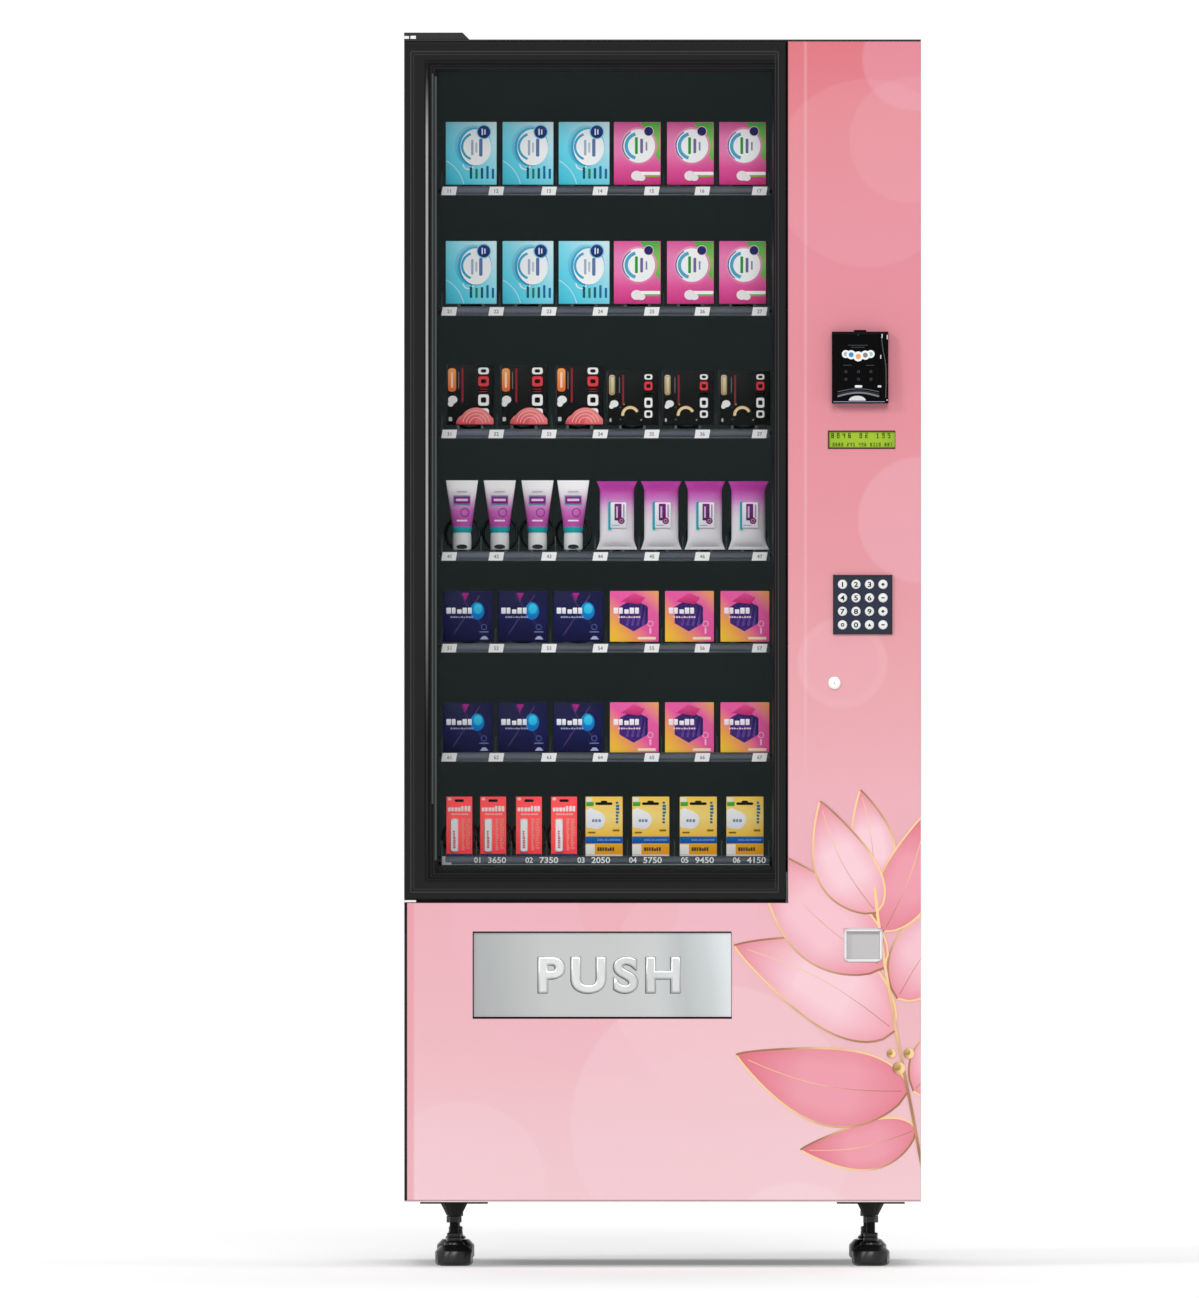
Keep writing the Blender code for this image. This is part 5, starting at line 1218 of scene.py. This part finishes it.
def sleeve(piece, rows, sides, finish, place):
    """A closed skin over rows of points; place takes the shares up, to the right and to the back."""
    rings, prints = [], []
    for i in range(rows + 1):
        ring = []
        for j in reversed(range(sides)):
            angle = -math.tau * j / sides
            ring.append(place(i / rows, math.cos(angle), math.sin(angle)))
            prints.append((0.5 + 0.5 * math.cos(angle), i / rows))
        rings.append(ring)
    piece.rings(rings, finish, prints)


def tube(piece, x, level):
    """A squeeze tube on its cap: a flat crimp at the top and a round shoulder at the foot."""
    y, radius, crimp, sheet = PACK_FACE + 15, 13.6, 24, 0.9

    def place(share, side, back):
        wide = radius + (crimp - radius) * share
        deep = radius + (sheet - radius) * share**1.35
        return x + wide * side, y + deep * back, level + 26 + 78 * share

    body = ink("25a3ab bd4ba9 bf58b0 ca70bc dba6d2 eddcea f7f6f8 fafafb", rough=0.3)
    sleeve(piece, 14, 28, body, place)
    cap = ((13.4, 0.2), (14, 1), (14.2, 12), (13.9, 24), (12.6, 26.6), (4, 26.8))
    collar = ((13.9, 26.6), (14.3, 27.2), (15.4, 33.8), (15.2, 34.4))
    for profile, finish in ((cap, ink("c9cccd eceded", rough=0.3)), (collar, ink("1f9fa6"))):
        piece.turned(profile, (x, y, level), finish, 2, 28)
    art = Art(piece, x, level, y - 9.4)
    art.out(5.2).disc(0, 4.8, 8.2, 0, "2b2c2e", flat=0.42, steps=20)
    art.box(-13, 12.6, 67.5, 81.5, 0, "3fa3b0")
    art.box(-12, 12, 69, 80, 1, "7d1c78 96258c")
    art.bar(-9, 9, 73, 76.4, 1, 2, "e6c9e4")
    art.out(2.6).line(arc((4.5, 56), 6.2, steps=20), 1, 0, "7f2a7a", True)
    art.out(4.4).bar(-8, 8, 42.5, 45, 0.8, 0, "ecd6ea")
    art.out(-2.8).bar(-8, 8, 86.6, 88, 0.5, 0, "b9b4bb")


def pouch(piece, x, level):
    """A soft pouch with flared crimps at the top and the foot and a full middle."""

    def place(share, side, back):
        flare = max(0, 1 - share / 0.16) + max(0, (share - 0.86) / 0.14)
        wide = 25.6 + 4.9 * min(1, flare) ** 1.5
        puff = max(0, math.sin(math.pi * min(1, max(0, (share - 0.055) / 0.89))))
        deep = (0.8 + 14.4 * puff**0.55) * math.copysign(abs(back) ** 0.75, back)
        wrinkle = 0.2 * math.sin(side * 17 + share * 3) * max(0, 1 - 5 * min(share, 1 - share))
        squared = math.copysign(abs(side) ** 0.8, side)
        return x + wide * squared, PACK_FACE + 16 + deep + wrinkle, level + 0.6 + 102 * share

    skin = ink("e9e7ec e9e7ec e8e6eb e6e2e9 e4d6e2 deb4da c873bd b8409f b53da2", rough=0.3, depth=1e-5)
    sleeve(piece, 24, 32, skin, place)
    art = Art(piece, x, level, PACK_FACE - 0.3)
    art.bar(-13, -8.6, 30, 72, 0.8, 0, "1aa3ae")
    art.bar(-9.4, 14, 33, 71, 1.2, 1, "d9d6e2 f3f3f8")
    art.bar(-3.6, 7, 44, 69, 0.8, 2, "5a1a5e 7a2478")
    art.bar(-1.2, 1.4, 48, 65, 0.6, 3, "c9b3d4")
    art.bar(9.2, 11.4, 48, 68, 0.6, 2, "a78fb4")
    art.disc(6.6, 43.5, 5, 3, "6f2456", steps=20)
    art.line(arc((6.6, 43.5), 2.4, steps=14), 0.8, 4, "cf9cc4", True)
    art.bar(-8, 4, 36.2, 37.4, 0.5, 2, "9c9aa6")


STOCK = (
    ("sky", (76, 94, 36), "41c0dd 5fd6ef 7fe0f4 b4ecfa dcf6fe", sky_art),
    ("rose", (70, 94, 36), "d23a84 e6559b f27fb4 f084b8 e45a9d", rose_art),
    ("coral", (72, 90, 36), "0a090b 060607 0b0a0c", coral_art),
    ("moon", (78, 81, 36), "0c0b0c 060607 0b0a0c", moon_art),
    ("navy", (74, 76, 34), "0c0c36 17184f 12123f", navy_art),
    ("sunset", (73, 76, 34), "fdd032 f7a552 f258a4 f263a6 fbae50", sunset_art),
    ("stick", (38.7, 90, 1.2), "fb3f45 ff5c60 ff4c51", stick_art),
    ("balm", (55.5, 90, 1.2), "fdb22c fec644 ffe284 fdcf50", balm_art),
)
SOFT_PACKS = {"tube": tube, "pouch": pouch}


def stock_tray(number, level, left, right, lift):
    """The front packs of a tray in one piece, and plainer ones behind them."""
    kinds = {kind: rest for kind, *rest in STOCK}
    front, behind = Piece(), Piece()
    base = level + 0.3 + lift
    lanes = lanes_of(left)
    for lane, x in enumerate(lanes):
        kind = left if lane < len(lanes) // 2 else right
        if base > level + 1:
            reach = 9 if kind in SOFT_PACKS else 18
            for rest in (x - reach, x + reach):
                depth = (PACK_FACE + 2, PACK_FACE + 42)
                front.block((rest - 2, rest + 2), depth, (level + 0.3, base - 0.1), bay_coat)
        if kind in SOFT_PACKS:
            SOFT_PACKS[kind](front, x, base)
            continue
        size, codes, art = kinds[kind]
        skin = ink(codes, along=2 if kind in ("sky", "sunset") else 1)
        if kind == "stick":
            # Painted glow on the stick's red card, which brightens it in the tray's shade.
            lit(skin, "ff5054", 0.19)
        carton(front, x, base, size, skin)
        art(Art(front, x, base, PACK_FACE - FILM))
        plain = (size[0] - 4, size[1] - 6, max(size[2], 14))
        for off in (62, 124):
            carton(behind, x, base + 3, plain, skin, PACK_FACE + off)
    made = front.make(f"packs_{number}", "cabinet")
    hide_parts(f"front_packs_{number}")
    if behind.points:
        behind.make(f"packs_behind_{number}", "cabinet")


def coils(number, level, lanes):
    """The spirals of a tray below the first."""
    piece = Piece()
    radius = min(31, (TRAY_RIGHT - TRAY_LEFT) / len(lanes) * 0.42)
    wire, sides, around, turns, front, length = 2, 6, 20, 8, -186, 432
    total = turns * around
    round_wire = [(math.cos(math.tau * j / sides), math.sin(math.tau * j / sides)) for j in range(sides)]
    for x in lanes:
        rings = []
        for i in range(total + 1):
            angle = math.tau * i / around
            out = Vector((math.sin(angle), 0, -math.cos(angle)))
            y, z = front + length * i / total, level + radius + 3 - radius * math.cos(angle)
            centre = Vector((x + radius * math.sin(angle), y, z))
            rings.append([tuple(centre + (out * a + Vector((0, b, 0))) * wire) for a, b in round_wire])
        piece.rings(rings, wire_coat)
    piece.make(f"spirals_{number}", "cabinet", angle=60)


# Feet, rear and inside
FOOT_PARTS = (
    # sides, then (radius, height) up the foot: its cup in two parts, its collar and its nut
    (12, ((17.5, 0), (19.5, 0), (25.5, 1.6), (28.2, 5))),
    (12, ((28.2, 5), (28.2, 21), (27.4, 22.6), (20.4, 30), (15.5, 31.6))),
    (32, (
        (15.4, 30.6), (15.6, 31.4), (14.6, 34.6), (11.6, 36.6), (10.8, 38), (10.8, 42),
        (10, 43), (10.6, 44), (10.6, 48.4), (9.4, 49.6), (7, 49.8),
    )),
    (24, [(radius, 49 + 1.25 * i + rise) for i in range(13) for radius, rise in ((6.9, 0), (6.1, 0.5), (6.9, 1))]),
    (6, ((10.2, 64.6), (11.2, 65.2), (11.2, 73.6), (10.4, 74.4))),
)


def feet():
    """The four levelling feet: a faceted foot, a collar, a threaded stem and its nut."""
    for name in ("front_left", "front_right", "rear_left", "rear_right"):
        low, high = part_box(f"{name}_foot")
        centre = ((low.x + high.x) / 2 / MM, (low.y + high.y) / 2 / MM, 0)
        foot = Piece()
        for sides, profile in FOOT_PARTS:
            foot.turned([(radius, min(z, high.z / MM)) for radius, z in profile], centre, rubber, 2, sides)
        front, _, side = name.partition("_")
        made = foot.make(f"{name}_levelling_foot", f"foot_{front[0]}{side[0]}", angle=28)
        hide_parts(f"{name}_foot")


def flush_screw(piece, centre, axis, sign=1):
    """A countersunk screw, level with the sheet, with its cross recess."""
    head = ((4.4, 0), (4.2, 0.1), (3.9, 0.06), (0.2, 0.12))
    piece.turned([(radius, sign * rise) for radius, rise in head], centre, zinc, axis, 16)
    for long in [i for i in range(3) if i != axis]:
        limits = []
        for i, middle in enumerate(centre):
            middle += sign * 0.12 if i == axis else 0
            half = 0.06 if i == axis else 2 if i == long else 0.4
            limits.append((middle - half, middle + half))
        piece.block(*limits, black_plastic)


def rear_and_sides():
    """Screws round the cabinet, and the supply inlet."""
    piece = Piece()
    rear = [(x, z) for z in (180, 560, 960, 1360, 1760) for x in (-372, 372)]
    rear += [(x, z) for x in (-200, 0, 200) for z in (1815, 122)]
    for x, z in rear:
        flush_screw(piece, (x, BACK_FACE, z), 1)
    for y in (-310, 40, 385):
        for x in (-330, 0, 330):
            flush_screw(piece, (x, y, 1829), 2)
    for y in (-300, 380):
        for z in (150, 700, 1250, 1780):
            for sign in (-1, 1):
                flush_screw(piece, (385 * sign, y, z), 0, sign)
    piece.make("cabinet_screws", "cabinet")
    inlet = Piece()
    (left, right), (foot, top), wall, depth = (-323.5, -276.5), (144.5, 175.5), 3, (389, 410.5)
    inlet.block((left, right), (386.4, 389), (foot, top), black_plastic)
    for x in ((left, left + wall), (right - wall, right)):
        inlet.block(x, depth, (foot, top), black_plastic)
    for z in ((foot, foot + wall), (top - wall, top)):
        inlet.block((left + wall, right - wall), depth, z, black_plastic)
    for x, z in ((-308, 157), (-300, 163), (-292, 157)):
        inlet.block((x - 1, x + 1), (389, 404), (z - 2.4, z + 2.4), brass)
    inlet.make("supply_socket", "cabinet", 0.5)


def inside():
    """The controller board and the supply in the control box, seen with the service door open."""
    board = Piece()
    board.block((197, 312), (-60, -58.4), (1040, 1190), circuit)
    rng = random.Random(3)
    for _ in range(26):
        x, z = rng.uniform(201, 296), rng.uniform(1046, 1172)
        wide, tall, high = rng.uniform(4, 14), rng.uniform(3, 12), rng.uniform(1.5, 6)
        finish = rng.choice((black_plastic, black_plastic, zinc, navy_plastic))
        board.block((x, min(x + wide, 310)), (-60 - high, -60), (z, z + tall), finish)
    for x in range(201, 305, 13):
        board.block((x, x + 9), (-70, -60), (1181, 1188), white_plastic)
    board.make("controller_board", "cabinet", 0.3)
    supply = Piece()
    supply.block((199, 310), (-110, -30), (910, 1020), zinc)
    for z in range(918, 1017, 11):
        supply.block((206, 300), (-110.4, -110), (z, z + 3), black_plastic)
    supply.make("power_supply", "cabinet", 0.8)
    behind_keypad = ((256, 341), (-374.2, -372.6), (946, 1029))
    behind_display = ((250, 343), (-375.6, -374), (1216, 1249))
    boxes("door_boards", "service_door", 0.2, circuit, behind_keypad, behind_display)


dress_nodes()
door_trim()
leaf_spray()
push_word()
reader_details()
display_details()
keypad_details()
lock_details()
coin_details()
for number, (level, left, right, lift) in enumerate(TRAYS, 1):
    rail(number, level)
    stock_tray(number, level, left, right, lift)
    if number > 1:
        coils(number, level, lanes_of(left))
feet()
rear_and_sides()
inside()
studio()
